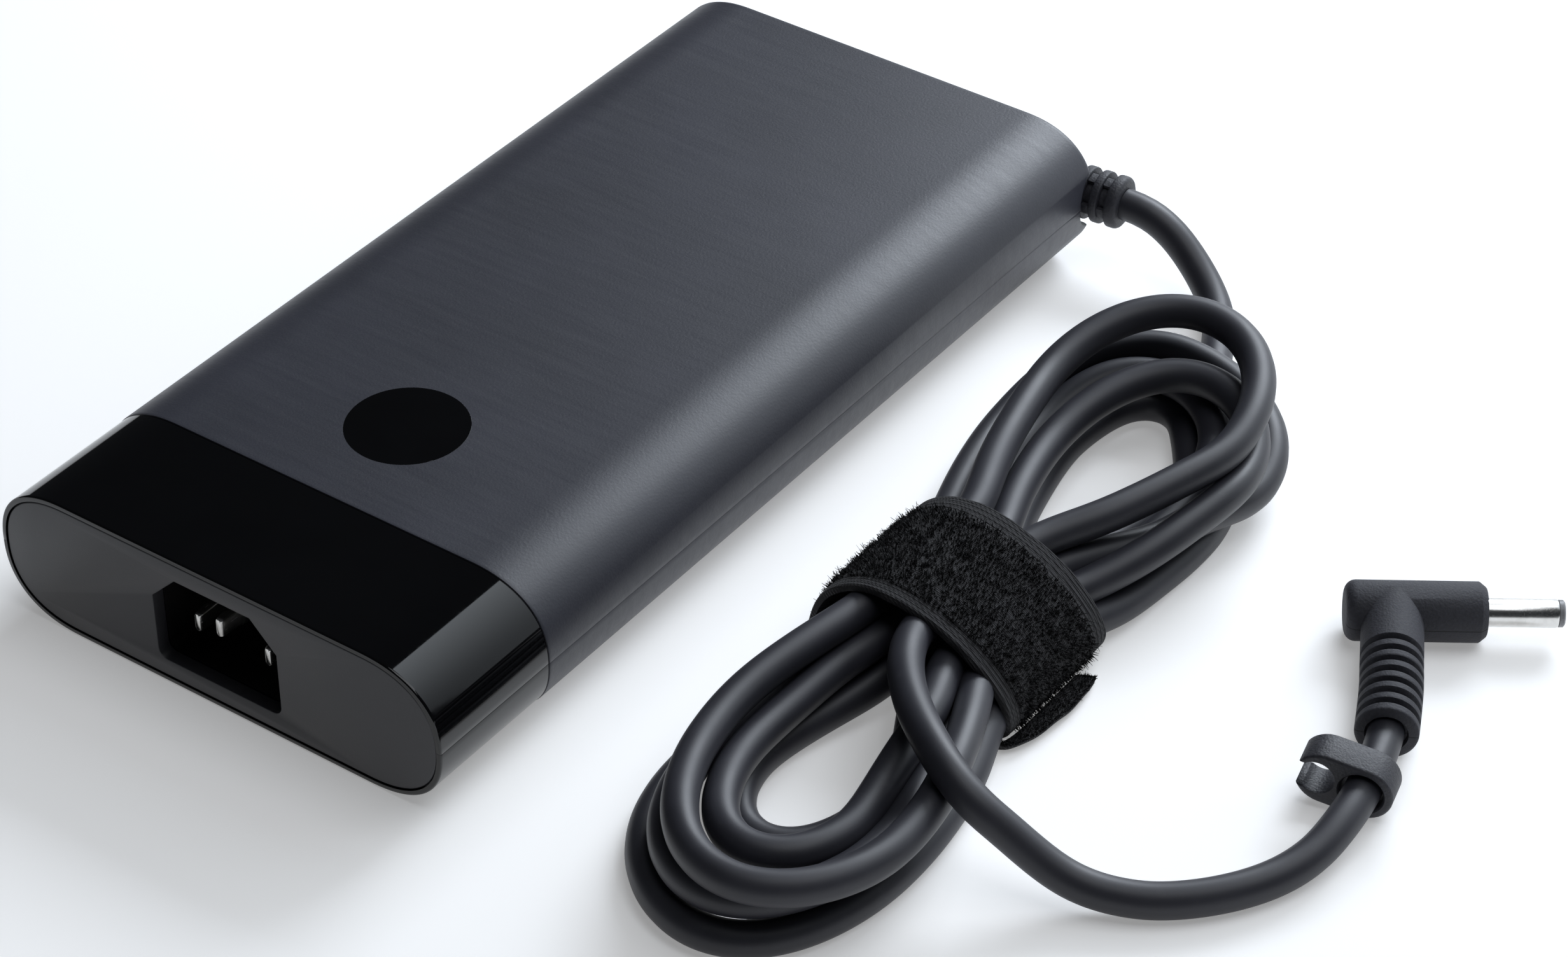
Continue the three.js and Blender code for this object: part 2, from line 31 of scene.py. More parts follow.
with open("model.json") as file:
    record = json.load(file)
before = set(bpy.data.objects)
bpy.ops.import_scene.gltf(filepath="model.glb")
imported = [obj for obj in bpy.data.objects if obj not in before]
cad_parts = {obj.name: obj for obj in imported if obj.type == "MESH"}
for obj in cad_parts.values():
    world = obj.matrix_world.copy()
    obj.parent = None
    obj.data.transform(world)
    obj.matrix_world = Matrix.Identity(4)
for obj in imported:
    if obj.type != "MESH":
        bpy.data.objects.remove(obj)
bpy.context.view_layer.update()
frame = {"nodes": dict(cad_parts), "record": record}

MM = 0.001
SEED = 7

# ---- Camera ----
CAMERA_LENS = 97.02
CAMERA_AZIMUTH = math.radians(35.508)
CAMERA_ELEVATION = math.radians(37.696)
CAMERA_PLACE = (0.35026, -0.43313, 0.4179)
FLOOR_REACH = 2500

# ---- Case ----
LENGTH = 177.0
WIDTH = 87.0
HEIGHT = 25.4
END = LENGTH / 2
MIDDLE_Z = HEIGHT / 2
SIDE_REACH = 14.7
SIDE_POWER = 2.36
WALL = 2.2
RIM = 0.95
PLATE_FRONT = -END + 0.1
PLATE_THICKNESS = 2.3
CLEARANCE = 0.3
GLOSS_EDGE_Y = -63.0
GLOSS_STEP = 0.1
SHELL_FRONT_ROUND = 0.3
SHELL_BACK_ROUND = 0.9
PLATE_ROUND = 0.35
# The step and groove where the gloss band ends, as (distance past its edge, depth).
GLOSS_GROOVE = (
    (-0.5, GLOSS_STEP), (-0.25, GLOSS_STEP), (-0.1, GLOSS_STEP + 0.12), (0, GLOSS_STEP + 0.12),
    (0.06, 0.03), (0.2, 0), (0.6, 0),
)
SEAM_HALF = 0.02
SEAM_LIP = 0.02
NOTCH_RADIUS = 5.7
NOTCH_Y = 89.6
NOTCH_START = 30.5
NOTCH_WALL = 2.0
NOTCH_FRONT = NOTCH_Y - NOTCH_RADIUS
DISC_CENTRE = (0.2, -42.6)
DISC_RADIUS = 9.9

# ---- Mains inlet ----
INLET_WIDTH = 24.4
INLET_HEIGHT = 16.6
INLET_CHAMFER = 4.8
INLET_CORNER = 1.6
INLET_DEPTH = 16.0
INLET_WALL = 1.9
INLET_BASE = 1.8
PIN_PITCH = 7.0
PIN_ROW_Z = 10.9
EARTH_RAISE = 4.0
PIN_SIZE = (2.0, 4.0)
# A blade's tip, as (distance past its start, how far its faces lie in).
PIN_TIP = ((0, 0.5), (0.2, 0.38), (0.6, 0.3), (4.0, 0.25), (4.6, 0))
# Each pin with its x, its height over the row and how far its tip lies behind the case's end.
PINS = (
    ("line_pin", -PIN_PITCH, 0.0, 3.8),
    ("neutral_pin", PIN_PITCH, 0.0, 3.8),
    ("earth_pin", 0.0, EARTH_RAISE, 1.2),
)

# ---- Lead ----
CORD_RADIUS = 2.8
CORD_DIAMETER = 2 * CORD_RADIUS
RELIEF_RADIUS = 4.65
RELIEF_CORE = 3.3
RELIEF_NECK = 2.9
RELIEF_PATH = (
    (27, 81, MIDDLE_Z),
    (31.5, 85.5, MIDDLE_Z),
    (35.4, 88.1, MIDDLE_Z),
    (40, 89.5, MIDDLE_Z),
    (48.6, 90.25, MIDDLE_Z),
)
RELIEF_RINGS = ((0, 2.1), (3.5, 5.0), (6.4, 8.0))

# ---- Strap ----
STRAP_FRONT = -27.0
STRAP_BACK = 0.0
STRAP_THICKNESS = 1.8
BAND_TUFTS = 9500
TAB_TUFTS = 1500
STRAP_ARCH = (
    (66.5, 0), (64.2, 3.4), (64.6, 9), (67.6, 14.8), (73, 18.5), (79, 19.5),
    (86, 18.3), (93, 15.4), (98.5, 11.4), (101.8, 7), (102.6, 3), (100.8, 0),
)

# ---- Plug and clip ----
PLUG_ANGLE = math.radians(34)
PLUG_Z = 4.85
HOUSING_RADIUS = 4.75
HOUSING_BACK = 7.4
HOUSING_FRONT = 14.3
BARREL_LENGTH = 12.0
BARREL_RADIUS = 2.25
BARREL_BORE = 1.55
HOUSING_ROUND = 1.7
BOOT_RADIUS = 4.85
BOOT_END_ROUND = 0.55
BOOT_PATH = (
    (135.2, 29.2, PLUG_Z),
    (138.4, 23.4, PLUG_Z),
    (141.3, 18, PLUG_Z),
    (144, 13, PLUG_Z),
    (146.3, 8.2, PLUG_Z),
    (148.5, 3.4, PLUG_Z),
)
CLIP_LENGTH = 15.1
CLIP_HEIGHT = 9.0
CLIP_THICKNESS = 5.65
CLIP_HOLE_RADIUS = 3.3
CLIP_HOLE = (151.3, -7.8)
CLIP_HOLE_X = 2.75
CLIP_NOTCH_X = -4.2
CLIP_NOTCH_RADIUS = 2.8
CLIP_MOUTH = (-2.05, 1.7)  # its lower and upper edge, from the notch's middle
CLIP_TURN = math.radians(13.5)
CLIP_ROLL = math.radians(8)


# ---------------------------------------------------------------- camera, floor and light

def add(name, data):
    """A new object with that data, linked into the scene."""
    thing = bpy.data.objects.new(name, data)
    bpy.context.scene.collection.objects.link(thing)
    return thing


def place_camera():
    data = bpy.data.cameras.new("camera")
    data.sensor_fit = "HORIZONTAL"
    data.sensor_width = 36
    data.lens = CAMERA_LENS
    data.clip_start = 0.02
    camera = add("camera", data)
    level = math.cos(CAMERA_ELEVATION)
    back = Vector((math.sin(CAMERA_AZIMUTH) * level, -math.cos(CAMERA_AZIMUTH) * level,
                   math.sin(CAMERA_ELEVATION)))
    right = Vector((math.cos(CAMERA_AZIMUTH), math.sin(CAMERA_AZIMUTH), 0))
    turn = Matrix((right, back.cross(right), back)).transposed().to_4x4()
    camera.matrix_world = Matrix.Translation(CAMERA_PLACE) @ turn
    bpy.context.scene.camera = camera


def softbox(name, direction, distance, width, height, power, colour, fade=0.0, aim=(0.04, 0, 0.01)):
    """A rectangular studio light, hidden from the camera. Its output falls off by the share that
    fade gives, towards its right edge as the object sees it."""
    data = bpy.data.lights.new(name, "AREA")
    data.shape = "RECTANGLE"
    data.size, data.size_y = width, height
    data.energy = power
    data.color = colour
    light = add(name, data)
    light.visible_camera = False
    target = Vector(aim)
    where = target + Vector(direction).normalized() * distance
    light.location = where
    light.rotation_euler = (target - where).to_track_quat("-Z", "Y").to_euler()
    if fade:
        data.use_nodes = True
        tree = data.node_tree
        place = tree.nodes.new("ShaderNodeNewGeometry").outputs["Parametric"]
        split = tree.nodes.new("ShaderNodeSeparateXYZ")
        tree.links.new(place, split.inputs[0])
        span = tree.nodes.new("ShaderNodeMapRange")
        tree.links.new(split.outputs["X"], span.inputs["Value"])
        span.inputs["To Min"].default_value = 1 - fade
        tree.links.new(span.outputs[0], tree.nodes["Emission"].inputs["Strength"])


def light_studio():
    softbox("overhead", (0.3, 0.1, 1.0), 1.2, 0.9, 0.9, 5, (0.93, 0.96, 1.0))
    softbox("rear_sweep", (-0.05, 0.85, 0.62), 0.75, 0.5, 0.26, 5.5, (0.86, 0.92, 1.0),
            aim=(0.02, 0.1, 0.02))
    softbox("backdrop", (0, 1, 0), 0.62, 1.14, 1.08, 9, (0.86, 0.93, 1.0), 0.8, aim=(0.48, 0, 0.62))
    world = bpy.data.worlds.new("studio")
    world.use_nodes = True
    background = world.node_tree.nodes["Background"]
    background.inputs["Color"].default_value = (0.85, 0.92, 1.0, 1)
    background.inputs["Strength"].default_value = 0.03
    bpy.context.scene.world = world
    bpy.context.scene.view_settings.view_transform = "Standard"


# ---------------------------------------------------------------- materials

class Nodes:
    """A node tree being written, with short calls for the nodes that the finishes use."""

    def __init__(self, name):
        self.material = bpy.data.materials.new(name)
        self.material.use_nodes = True
        self.tree = self.material.node_tree
        self.shader = self.tree.nodes["Principled BSDF"]
        self.place = self.new("ShaderNodeTexCoord").outputs["Object"]

    def new(self, kind, **settings):
        node = self.tree.nodes.new(kind)
        for key, value in settings.items():
            setattr(node, key, value)
        return node

    def put(self, socket, value):
        if isinstance(value, bpy.types.NodeSocket):
            self.tree.links.new(value, socket)
        else:
            socket.default_value = value

    def texture(self, kind, output, place, values, **settings):
        node = self.new(kind, **settings)
        self.put(node.inputs["Vector"], self.place if place is None else place)
        for key, value in values.items():
            node.inputs[key].default_value = value
        return node.outputs[output]

    def noise(self, scale, detail=3.0, roughness=0.55, place=None):
        values = {"Scale": scale, "Detail": detail, "Roughness": roughness}
        return self.texture("ShaderNodeTexNoise", "Fac", place, values)

    def cells(self, scale, feature="F1"):
        return self.texture("ShaderNodeTexVoronoi", "Distance", None, {"Scale": scale}, feature=feature)

    def wave(self, scale, direction="X", distortion=0.0):
        values = {"Scale": scale, "Distortion": distortion}
        return self.texture("ShaderNodeTexWave", "Fac", None, values, bands_direction=direction)

    def axis(self, name):
        node = self.new("ShaderNodeSeparateXYZ")
        self.put(node.inputs[0], self.place)
        return node.outputs[name]

    def scaled(self, factors):
        node = self.new("ShaderNodeMapping")
        self.put(node.inputs["Vector"], self.place)
        node.inputs["Scale"].default_value = factors
        return node.outputs[0]

    def math(self, operation, a, b=0.0):
        node = self.new("ShaderNodeMath", operation=operation)
        self.put(node.inputs[0], a)
        self.put(node.inputs[1], b)
        return node.outputs[0]

    def shares(self, a, share_a, b, share_b):
        return self.math("ADD", self.math("MULTIPLY", a, share_a), self.math("MULTIPLY", b, share_b))

    def span(self, value, low, high, to_low=0.0, to_high=1.0):
        node = self.new("ShaderNodeMapRange")
        for key, item in zip(("Value", "From Min", "From Max", "To Min", "To Max"),
                             (value, low, high, to_low, to_high)):
            self.put(node.inputs[key], item)
        return node.outputs[0]

    def mix(self, factor, a, b):
        node = self.new("ShaderNodeMix", data_type="RGBA")
        self.put(node.inputs["Factor"], factor)
        self.put(node.inputs["A"], a if isinstance(a, bpy.types.NodeSocket) else (*a, 1))
        self.put(node.inputs["B"], b if isinstance(b, bpy.types.NodeSocket) else (*b, 1))
        return node.outputs["Result"]

    def blend(self, value, low, high, dark, light):
        """Dark where the value is low or less, light where it is high or more."""
        return self.mix(self.span(value, low, high), dark, light)

    def relief(self, height, depth_mm, under=None):
        """Bump of that depth where height runs from 0 to 1."""
        node = self.new("ShaderNodeBump")
        node.inputs["Strength"].default_value = 1.0
        node.inputs["Distance"].default_value = depth_mm * MM
        self.put(node.inputs["Height"], height)
        if under is not None:
            self.put(node.inputs["Normal"], under)
        return node.outputs[0]

    def finish(self, colour=None, roughness=None, normal=None, **fixed):
        inputs = self.shader.inputs
        for key, value in (("Base Color", colour), ("Roughness", roughness), ("Normal", normal)):
            if value is not None:
                if isinstance(value, tuple):
                    value = (*value, 1)
                self.put(inputs[key], value)
        for key, value in fixed.items():
            inputs[key.replace("_", " ")].default_value = value
        return self.material


def mottled(name, dark, light, roughness, grain_mm, depth_mm, metallic=0.0):
    """A surface with a fine grain, patches of colour and uneven gloss."""
    n = Nodes(name)
    grain = n.noise(1 / (grain_mm * MM), 2)
    patches = n.noise(90, 3)
    tone = n.shares(grain, 0.45, patches, 0.55)
    colour = n.blend(tone, 0.35, 0.65, dark, light)
    rough = n.span(patches, 0.3, 0.7, roughness - 0.05, roughness + 0.05)
    return n.finish(colour, rough, n.relief(grain, depth_mm), Metallic=metallic)


def shell_plastic():
    """Spark-textured satin plastic, with a piano-black band at the inlet end."""
    n = Nodes("satin_and_gloss_plastic")
    fine = n.cells(1 / (0.42 * MM), "SMOOTH_F1")
    fine_noise = n.noise(1 / (0.25 * MM), 2)
    patches = n.noise(35, 4)
    scuffs = n.noise(1.0, 4, 0.6, n.scaled((60, 900, 400)))
    satin = n.blend(patches, 0.3, 0.7, (0.028, 0.029, 0.038), (0.036, 0.037, 0.049))
    satin = n.mix(n.span(fine_noise, 0.45, 0.75, 0, 0.35), satin, (0.052, 0.053, 0.058))
    gloss = n.blend(patches, 0.3, 0.7, (0.0015, 0.0015, 0.0018), (0.0025, 0.0025, 0.003))
    band = n.math("LESS_THAN", n.axis("Y"), GLOSS_EDGE_Y * MM)
    colour = n.mix(band, satin, gloss)
    satin_rough = n.span(scuffs, 0.3, 0.7, 0.40, 0.47)
    gloss_rough = n.span(scuffs, 0.3, 0.8, 0.035, 0.09)
    rough = n.new("ShaderNodeMix", data_type="FLOAT")
    for key, value in (("Factor", band), ("A", satin_rough), ("B", gloss_rough)):
        n.put(rough.inputs[key], value)
    texture = n.math("MULTIPLY", n.math("ADD", fine, fine_noise), n.math("SUBTRACT", 1.0, band))
    waviness = n.relief(n.noise(55, 1), 0.006)
    normal = n.relief(texture, 0.012, waviness)
    return n.finish(colour, rough.outputs["Result"], normal)


def polished_plastic():
    n = Nodes("polished_plastic")
    patches = n.noise(60, 3)
    dust = n.noise(1200, 3, 0.7)
    colour = n.blend(patches, 0.3, 0.7, (0.0015, 0.0015, 0.0018), (0.0025, 0.0025, 0.003))
    rough = n.span(dust, 0.5, 0.8, 0.04, 0.12)
    return n.finish(colour, rough, n.relief(patches, 0.004))


def cord_rubber():
    """Soft extruded jacket: faint lines along it, a dry bloom, small marks."""
    n = Nodes("cord_rubber")
    fine = n.noise(1 / (0.3 * MM), 3)
    bloom = n.noise(45, 4, 0.6)
    marks = n.noise(260, 3, 0.7)
    colour = n.blend(bloom, 0.3, 0.7, (0.019, 0.019, 0.025), (0.030, 0.030, 0.039))
    colour = n.mix(n.span(marks, 0.62, 0.8, 0, 0.3), colour, (0.055, 0.056, 0.064))
    rough = n.span(bloom, 0.3, 0.7, 0.44, 0.54)
    return n.finish(colour, rough, n.relief(fine, 0.008, n.relief(bloom, 0.05)))


def moulded_rubber(name="moulded_rubber", parting_z=None, gloss=(0.50, 0.64)):
    """Eroded-tool texture of the plug, the clip and the strain relief, with the mould's parting line
    where parting_z gives its height."""
    n = Nodes(name)
    pits = n.cells(1 / (0.36 * MM), "F1")
    fine = n.noise(1 / (0.5 * MM), 4)
    patches = n.noise(70, 3)
    tone = n.shares(fine, 0.6, patches, 0.4)
    colour = n.blend(tone, 0.35, 0.7, (0.017, 0.017, 0.022), (0.036, 0.036, 0.046))
    rough = n.span(tone, 0.3, 0.7, *gloss)
    normal = n.relief(n.math("ADD", n.math("MULTIPLY", pits, 0.6), fine), 0.06)
    if parting_z is not None:
        off = n.math("ABSOLUTE", n.math("SUBTRACT", n.axis("Z"), parting_z * MM))
        beside = n.span(off, 0.04 * MM, 0.12 * MM)
        colour = n.mix(beside, (0.004, 0.004, 0.005), colour)
        normal = n.relief(beside, 0.08, normal)
    return n.finish(colour, rough, normal)


def strap_weave():
    """Woven ground of the strap, its threads crossing."""
    n = Nodes("strap_weave")
    across = n.wave(1 / MM / 6.28 * 6.0, "Y")
    diagonal = n.wave(1 / (1.3 * MM) / 6.28 * 6.0, "DIAGONAL")
    fuzz = n.noise(1 / (0.35 * MM), 4, 0.7)
    threads = n.math("MULTIPLY", across, diagonal)
    tone = n.shares(threads, 0.6, fuzz, 0.5)
    colour = n.blend(tone, 0.2, 0.9, (0.002, 0.002, 0.003), (0.024, 0.022, 0.026))
    rough = n.span(fuzz, 0.3, 0.7, 0.75, 0.95)
    return n.finish(colour, rough, n.relief(tone, 0.25), Sheen_Weight=0.08, Sheen_Roughness=0.5)


def strap_pile():
    """Brushed loops: near black, each strand a little different."""
    n = Nodes("strap_pile")
    strands = n.noise(1 / (0.25 * MM), 4, 0.7)
    clumps = n.noise(420, 3)
    tone = n.shares(strands, 0.5, clumps, 0.5)
    colour = n.blend(tone, 0.4, 0.8, (0.0008, 0.0008, 0.001), (0.006, 0.0055, 0.007))
    rough = n.span(strands, 0.3, 0.7, 0.6, 0.9)
    return n.finish(colour, rough, n.relief(strands, 0.1), Sheen_Weight=0.02, Sheen_Roughness=0.4,
                    Specular_IOR_Level=0.15)


def plate_plastic():
    n = Nodes("end_plate_plastic")
    fine = n.noise(1 / (0.3 * MM), 3)
    patches = n.noise(60, 3)
    colour = n.blend(patches, 0.3, 0.7, (0.020, 0.020, 0.024), (0.029, 0.029, 0.034))
    colour = n.mix(n.span(fine, 0.5, 0.75, 0, 0.3), colour, (0.036, 0.036, 0.040))
    rough = n.span(patches, 0.3, 0.7, 0.38, 0.46)
    return n.finish(colour, rough, n.relief(fine, 0.012))


def nickel():
    """Plated contact metal with fine draw lines and a slightly dulled tip."""
    n = Nodes("nickel_plate")
    lines = n.noise(1.0, 3, 0.5, n.scaled((9000, 300, 9000)))
    stains = n.noise(500, 3)
    colour = n.blend(stains, 0.35, 0.7, (0.62, 0.61, 0.59), (0.76, 0.75, 0.73))
    rough = n.span(lines, 0.2, 0.8, 0.16, 0.3)
    return n.finish(colour, rough, n.relief(lines, 0.004), Metallic=1.0)


def board_laminate():
    """Green solder mask over copper tracks, with bare pads."""
    n = Nodes("board_laminate")
    tracks = n.new("ShaderNodeTexBrick", offset=0.5)
    n.put(tracks.inputs["Vector"], n.place)
    tracks.inputs["Scale"].default_value = 130
    tracks.inputs["Mortar Size"].default_value = 0.07
    for key, value in (("Color1", (0.010, 0.10, 0.035, 1)), ("Color2", (0.013, 0.13, 0.045, 1)),
                       ("Mortar", (0.006, 0.055, 0.02, 1))):
        tracks.inputs[key].default_value = value
    pads = n.math("LESS_THAN", n.cells(260), 0.13)
    colour = n.mix(pads, tracks.outputs["Color"], (0.55, 0.53, 0.48))
    rough = n.span(n.noise(200), 0.3, 0.7, 0.3, 0.45)
    height = n.math("ADD", tracks.outputs["Fac"], n.math("MULTIPLY", pads, 2.0))
    return n.finish(colour, rough, n.relief(height, 0.05))


def winding(name, dark, light, pitch_mm, direction, metallic, rough):
    """Wire or tape laid side by side: round ridges across the turn, with painted shade that darkens the
    colour in the grooves between turns.
    """
    n = Nodes(name)
    ridges_and_groove_shade = n.wave(1 / (pitch_mm * MM) * 0.314, direction, 0.6)
    varnish = n.noise(400, 3)
    # Painted shade: the colour goes dark in the grooves between turns, following the same wave as the ridges.
    colour = n.blend(ridges_and_groove_shade, 0.05, 0.7, dark, light)
    roughness = n.span(varnish, 0.3, 0.7, rough - 0.08, rough + 0.08)
    return n.finish(colour, roughness, n.relief(ridges_and_groove_shade, 0.25), Metallic=metallic)


# Name, darkest and lightest colour, roughness, grain and depth in mm, and metallic where it is one.
MOTTLED = (
    ("inlet_plastic", (0.003,) * 3, (0.007,) * 3, 0.42, 0.4, 0.01),
    ("insulator_plastic", (0.16, 0.16, 0.17), (0.24, 0.24, 0.25), 0.4, 0.3, 0.01),
    ("ferrite", (0.03, 0.03, 0.032), (0.065, 0.065, 0.068), 0.62, 0.5, 0.05),
    ("blue_coating", (0.01, 0.06, 0.24), (0.02, 0.11, 0.38), 0.32, 0.6, 0.05),
    ("capacitor_sleeve", (0.010, 0.011, 0.014), (0.02, 0.021, 0.025), 0.3, 0.5, 0.01),
    ("epoxy", (0.008, 0.008, 0.009), (0.018, 0.018, 0.02), 0.55, 0.25, 0.02),
    ("heatsink_aluminium", (0.55, 0.56, 0.58), (0.7, 0.71, 0.73), 0.35, 0.4, 0.02, 1.0),
    ("insulating_film", (0.62, 0.59, 0.5), (0.74, 0.71, 0.62), 0.45, 0.8, 0.02),
    ("thermal_gap_pad", (0.25, 0.26, 0.27), (0.34, 0.35, 0.36), 0.85, 0.5, 0.05),
    ("red_wire", (0.32, 0.015, 0.015), (0.45, 0.03, 0.03), 0.4, 0.4, 0.01),
    ("blue_wire", (0.02, 0.07, 0.3), (0.03, 0.11, 0.42), 0.4, 0.4, 0.01),
    ("black_wire", (0.01,) * 3, (0.02,) * 3, 0.4, 0.4, 0.01),
)
# Name, darkest colour (painted shade in the grooves between turns) and lightest colour, pitch in mm,
# direction, metallic and roughness.
WINDINGS = (
    ("enamelled_copper", (0.16, 0.045, 0.015), (0.62, 0.24, 0.08), 0.9, "DIAGONAL", 0.9, 0.3),
    ("yellow_tape", (0.55, 0.36, 0.04), (0.78, 0.56, 0.10), 5.0, "Z", 0.0, 0.35),
)


def make_finishes():
    """Every finish that the model uses: by its material slot's name, then three for fine pieces."""
    finishes = {
        "shell_plastic": shell_plastic(),
        "plate_plastic": plate_plastic(),
        "nickel": nickel(),
        "cord_rubber": cord_rubber(),
        "strap_cloth": strap_weave(),
        "moulded_rubber": moulded_rubber(),
        "board_laminate": board_laminate(),
        "pile": strap_pile(),
        "plug_rubber": moulded_rubber("plug_rubber", PLUG_Z, (0.66, 0.80)),
        "polished": polished_plastic(),
    }
    finishes.update({row[0]: mottled(*row) for row in MOTTLED})
    finishes.update({row[0]: winding(*row) for row in WINDINGS})
    return finishes


# ---------------------------------------------------------------- mesh helpers

def mesh_object(name, points, faces, material=None, smooth_angle=35):
    """A mesh object from points in millimetres."""
    mesh = bpy.data.meshes.new(name)
    mesh.from_pydata([tuple(float(c) * MM for c in p) for p in points], [], faces)
    mesh.validate()
    bm = bmesh.new()
    bm.from_mesh(mesh)
    bmesh.ops.recalc_face_normals(bm, faces=bm.faces)
    bm.to_mesh(mesh)
    bm.free()
    piece = add(name, mesh)
    if material is not None:
        mesh.materials.append(material)
    shade(piece, smooth_angle)
    return piece


def shade(piece, smooth_angle=35):
    """Smooth shading, with edges sharper than the angle kept sharp."""
    mesh = piece.data
    mesh.polygons.foreach_set("use_smooth", [True] * len(mesh.polygons))
    mesh.set_sharp_from_angle(angle=math.radians(smooth_angle))


def loft(name, rings, material=None, closed=False, smooth_angle=35):
    """A closed body through rings of equal count: capped at both ends, or joined end to end."""
    count = len(rings[0])
    points = [p for ring in rings for p in ring]
    faces = []
    pairs = list(zip(range(len(rings) - 1), range(1, len(rings))))
    if closed:
        pairs.append((len(rings) - 1, 0))
    for a, b in pairs:
        for i in range(count):
            j = (i + 1) % count
            faces.append((a * count + i, a * count + j, b * count + j, b * count + i))
    if not closed:
        faces.append(tuple(range(count))[::-1])
        faces.append(tuple((len(rings) - 1) * count + i for i in range(count)))
    return mesh_object(name, points, faces, material, smooth_angle)


def rounded_steps(radius, steps=4):
    """(inset, advance) pairs round a quarter circle, from the end face to the side."""
    return [(radius * (1 - math.sin(t)), radius * (1 - math.cos(t)))
            for t in (math.pi / 2 * i / steps for i in range(steps + 1))]


def boolean(base, tool, operation="DIFFERENCE"):
    """Cuts base with tool or joins them, applies it and removes the tool."""
    modifier = base.modifiers.new("boolean", "BOOLEAN")
    modifier.operation = operation
    modifier.solver = "EXACT"
    modifier.object = tool
    settle(base)
    bpy.data.objects.remove(tool)
    return base


def settle(piece):
    """Applies every modifier on the piece."""
    graph = bpy.context.evaluated_depsgraph_get()
    graph.update()
    result = bpy.data.meshes.new_from_object(piece.evaluated_get(graph))
    piece.modifiers.clear()
    piece.data = result


def bevel(piece, width_mm, angle=40, segments=2, where=None):
    """Rounds the edges sharper than the angle, in the part of the piece that where(point in mm) picks."""
    bm = bmesh.new()
    bm.from_mesh(piece.data)
    bmesh.ops.remove_doubles(bm, verts=bm.verts, dist=0.002 * MM)
    edges = []
    for edge in bm.edges:
        if len(edge.link_faces) != 2 or edge.calc_face_angle() < math.radians(angle):
            continue
        middle = (edge.verts[0].co + edge.verts[1].co) / 2 / MM
        if where is None or where(middle):
            edges.append(edge)
    bmesh.ops.bevel(bm, geom=edges, offset=width_mm * MM, segments=segments, profile=0.5,
                    affect="EDGES", clamp_overlap=True)
    bm.to_mesh(piece.data)
    bm.free()
    shade(piece)


def distances(path):
    """How far along the path each of its points lies."""
    return np.r_[0, np.cumsum(np.linalg.norm(np.diff(path, axis=0), axis=1))]


def circle_points(x, y, radius, sides):
    angles = [2 * math.pi * i / sides for i in range(sides)]
    return [(x + radius * math.cos(a), y + radius * math.sin(a)) for a in angles]


def round_ring(centre, right, up, radius_at, sides):
    """A ring round the centre, with radius_at(angle) from it. Angle 0 is right and a quarter is up."""
    angles = [2 * math.pi * i / sides for i in range(sides)]
    return [centre + radius_at(a) * (math.cos(a) * right + math.sin(a) * up) for a in angles]


def between(t, start, end, a, b):
    return (end - t) / (end - start) * a + (t - start) / (end - start) * b


def smooth_path(points, step):
    """Even steps along a centripetal Catmull-Rom curve through the points."""
    points = np.array(points, float)
    padded = np.vstack([2 * points[0] - points[1], points, 2 * points[-1] - points[-2]])
    dense = []
    for i in range(1, len(padded) - 2):
        p0, p1, p2, p3 = padded[i - 1:i + 3]
        t0 = 0.0
        t1 = t0 + np.linalg.norm(p1 - p0) ** 0.5
        t2 = t1 + np.linalg.norm(p2 - p1) ** 0.5
        t3 = t2 + np.linalg.norm(p3 - p2) ** 0.5
        t = np.linspace(t1, t2, 24, endpoint=False)[:, None]
        a1, a2, a3 = between(t, t0, t1, p0, p1), between(t, t1, t2, p1, p2), between(t, t2, t3, p2, p3)
        b1, b2 = between(t, t0, t2, a1, a2), between(t, t1, t3, a2, a3)
        dense.append(between(t, t1, t2, b1, b2))
    dense = np.vstack(dense + [padded[-2:-1]])
    far = distances(dense)
    count = max(2, int(round(far[-1] / step)))
    at = np.linspace(0, far[-1], count + 1)
    return np.stack([np.interp(at, far, dense[:, k]) for k in range(3)], 1)


def tube_rings(path, radius_at, sides):
    """Rings round a path that lies level: radius_at(distance, angle) gives each point's radius."""
    ahead = np.gradient(path, axis=0)
    ahead /= np.linalg.norm(ahead, axis=1, keepdims=True)
    rings = []
    for centre, t, s in zip(path, ahead, distances(path)):
        right = np.cross(t, (0, 0, 1))
        right /= np.linalg.norm(right)
        up = np.cross(right, t)
        rings.append(round_ring(centre, right, up, lambda a: radius_at(s, a), sides))
    return rings


def turned(name, profile, origin, axis, sides, material=None, closed=False):
    """A body of revolution: profile holds (distance along the axis, radius)."""
    axis = np.array(axis, float)
    axis /= np.linalg.norm(axis)
    side = np.cross(axis, (0, 0, 1))
    side /= np.linalg.norm(side)
    up = np.cross(side, axis)
    rings = [round_ring(np.array(origin) + along * axis, side, up, lambda a: radius, sides)
             for along, radius in profile]
    return loft(name, rings, material, closed)


def register(piece, body, slot, *nodes):
    """Hangs the piece on the body that it rides on and hides the CAD nodes that it stands for. slot: not
    used.
    """
    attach(piece, body)
    if nodes:
        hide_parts(*nodes)
    return piece


# ---------------------------------------------------------------- lead

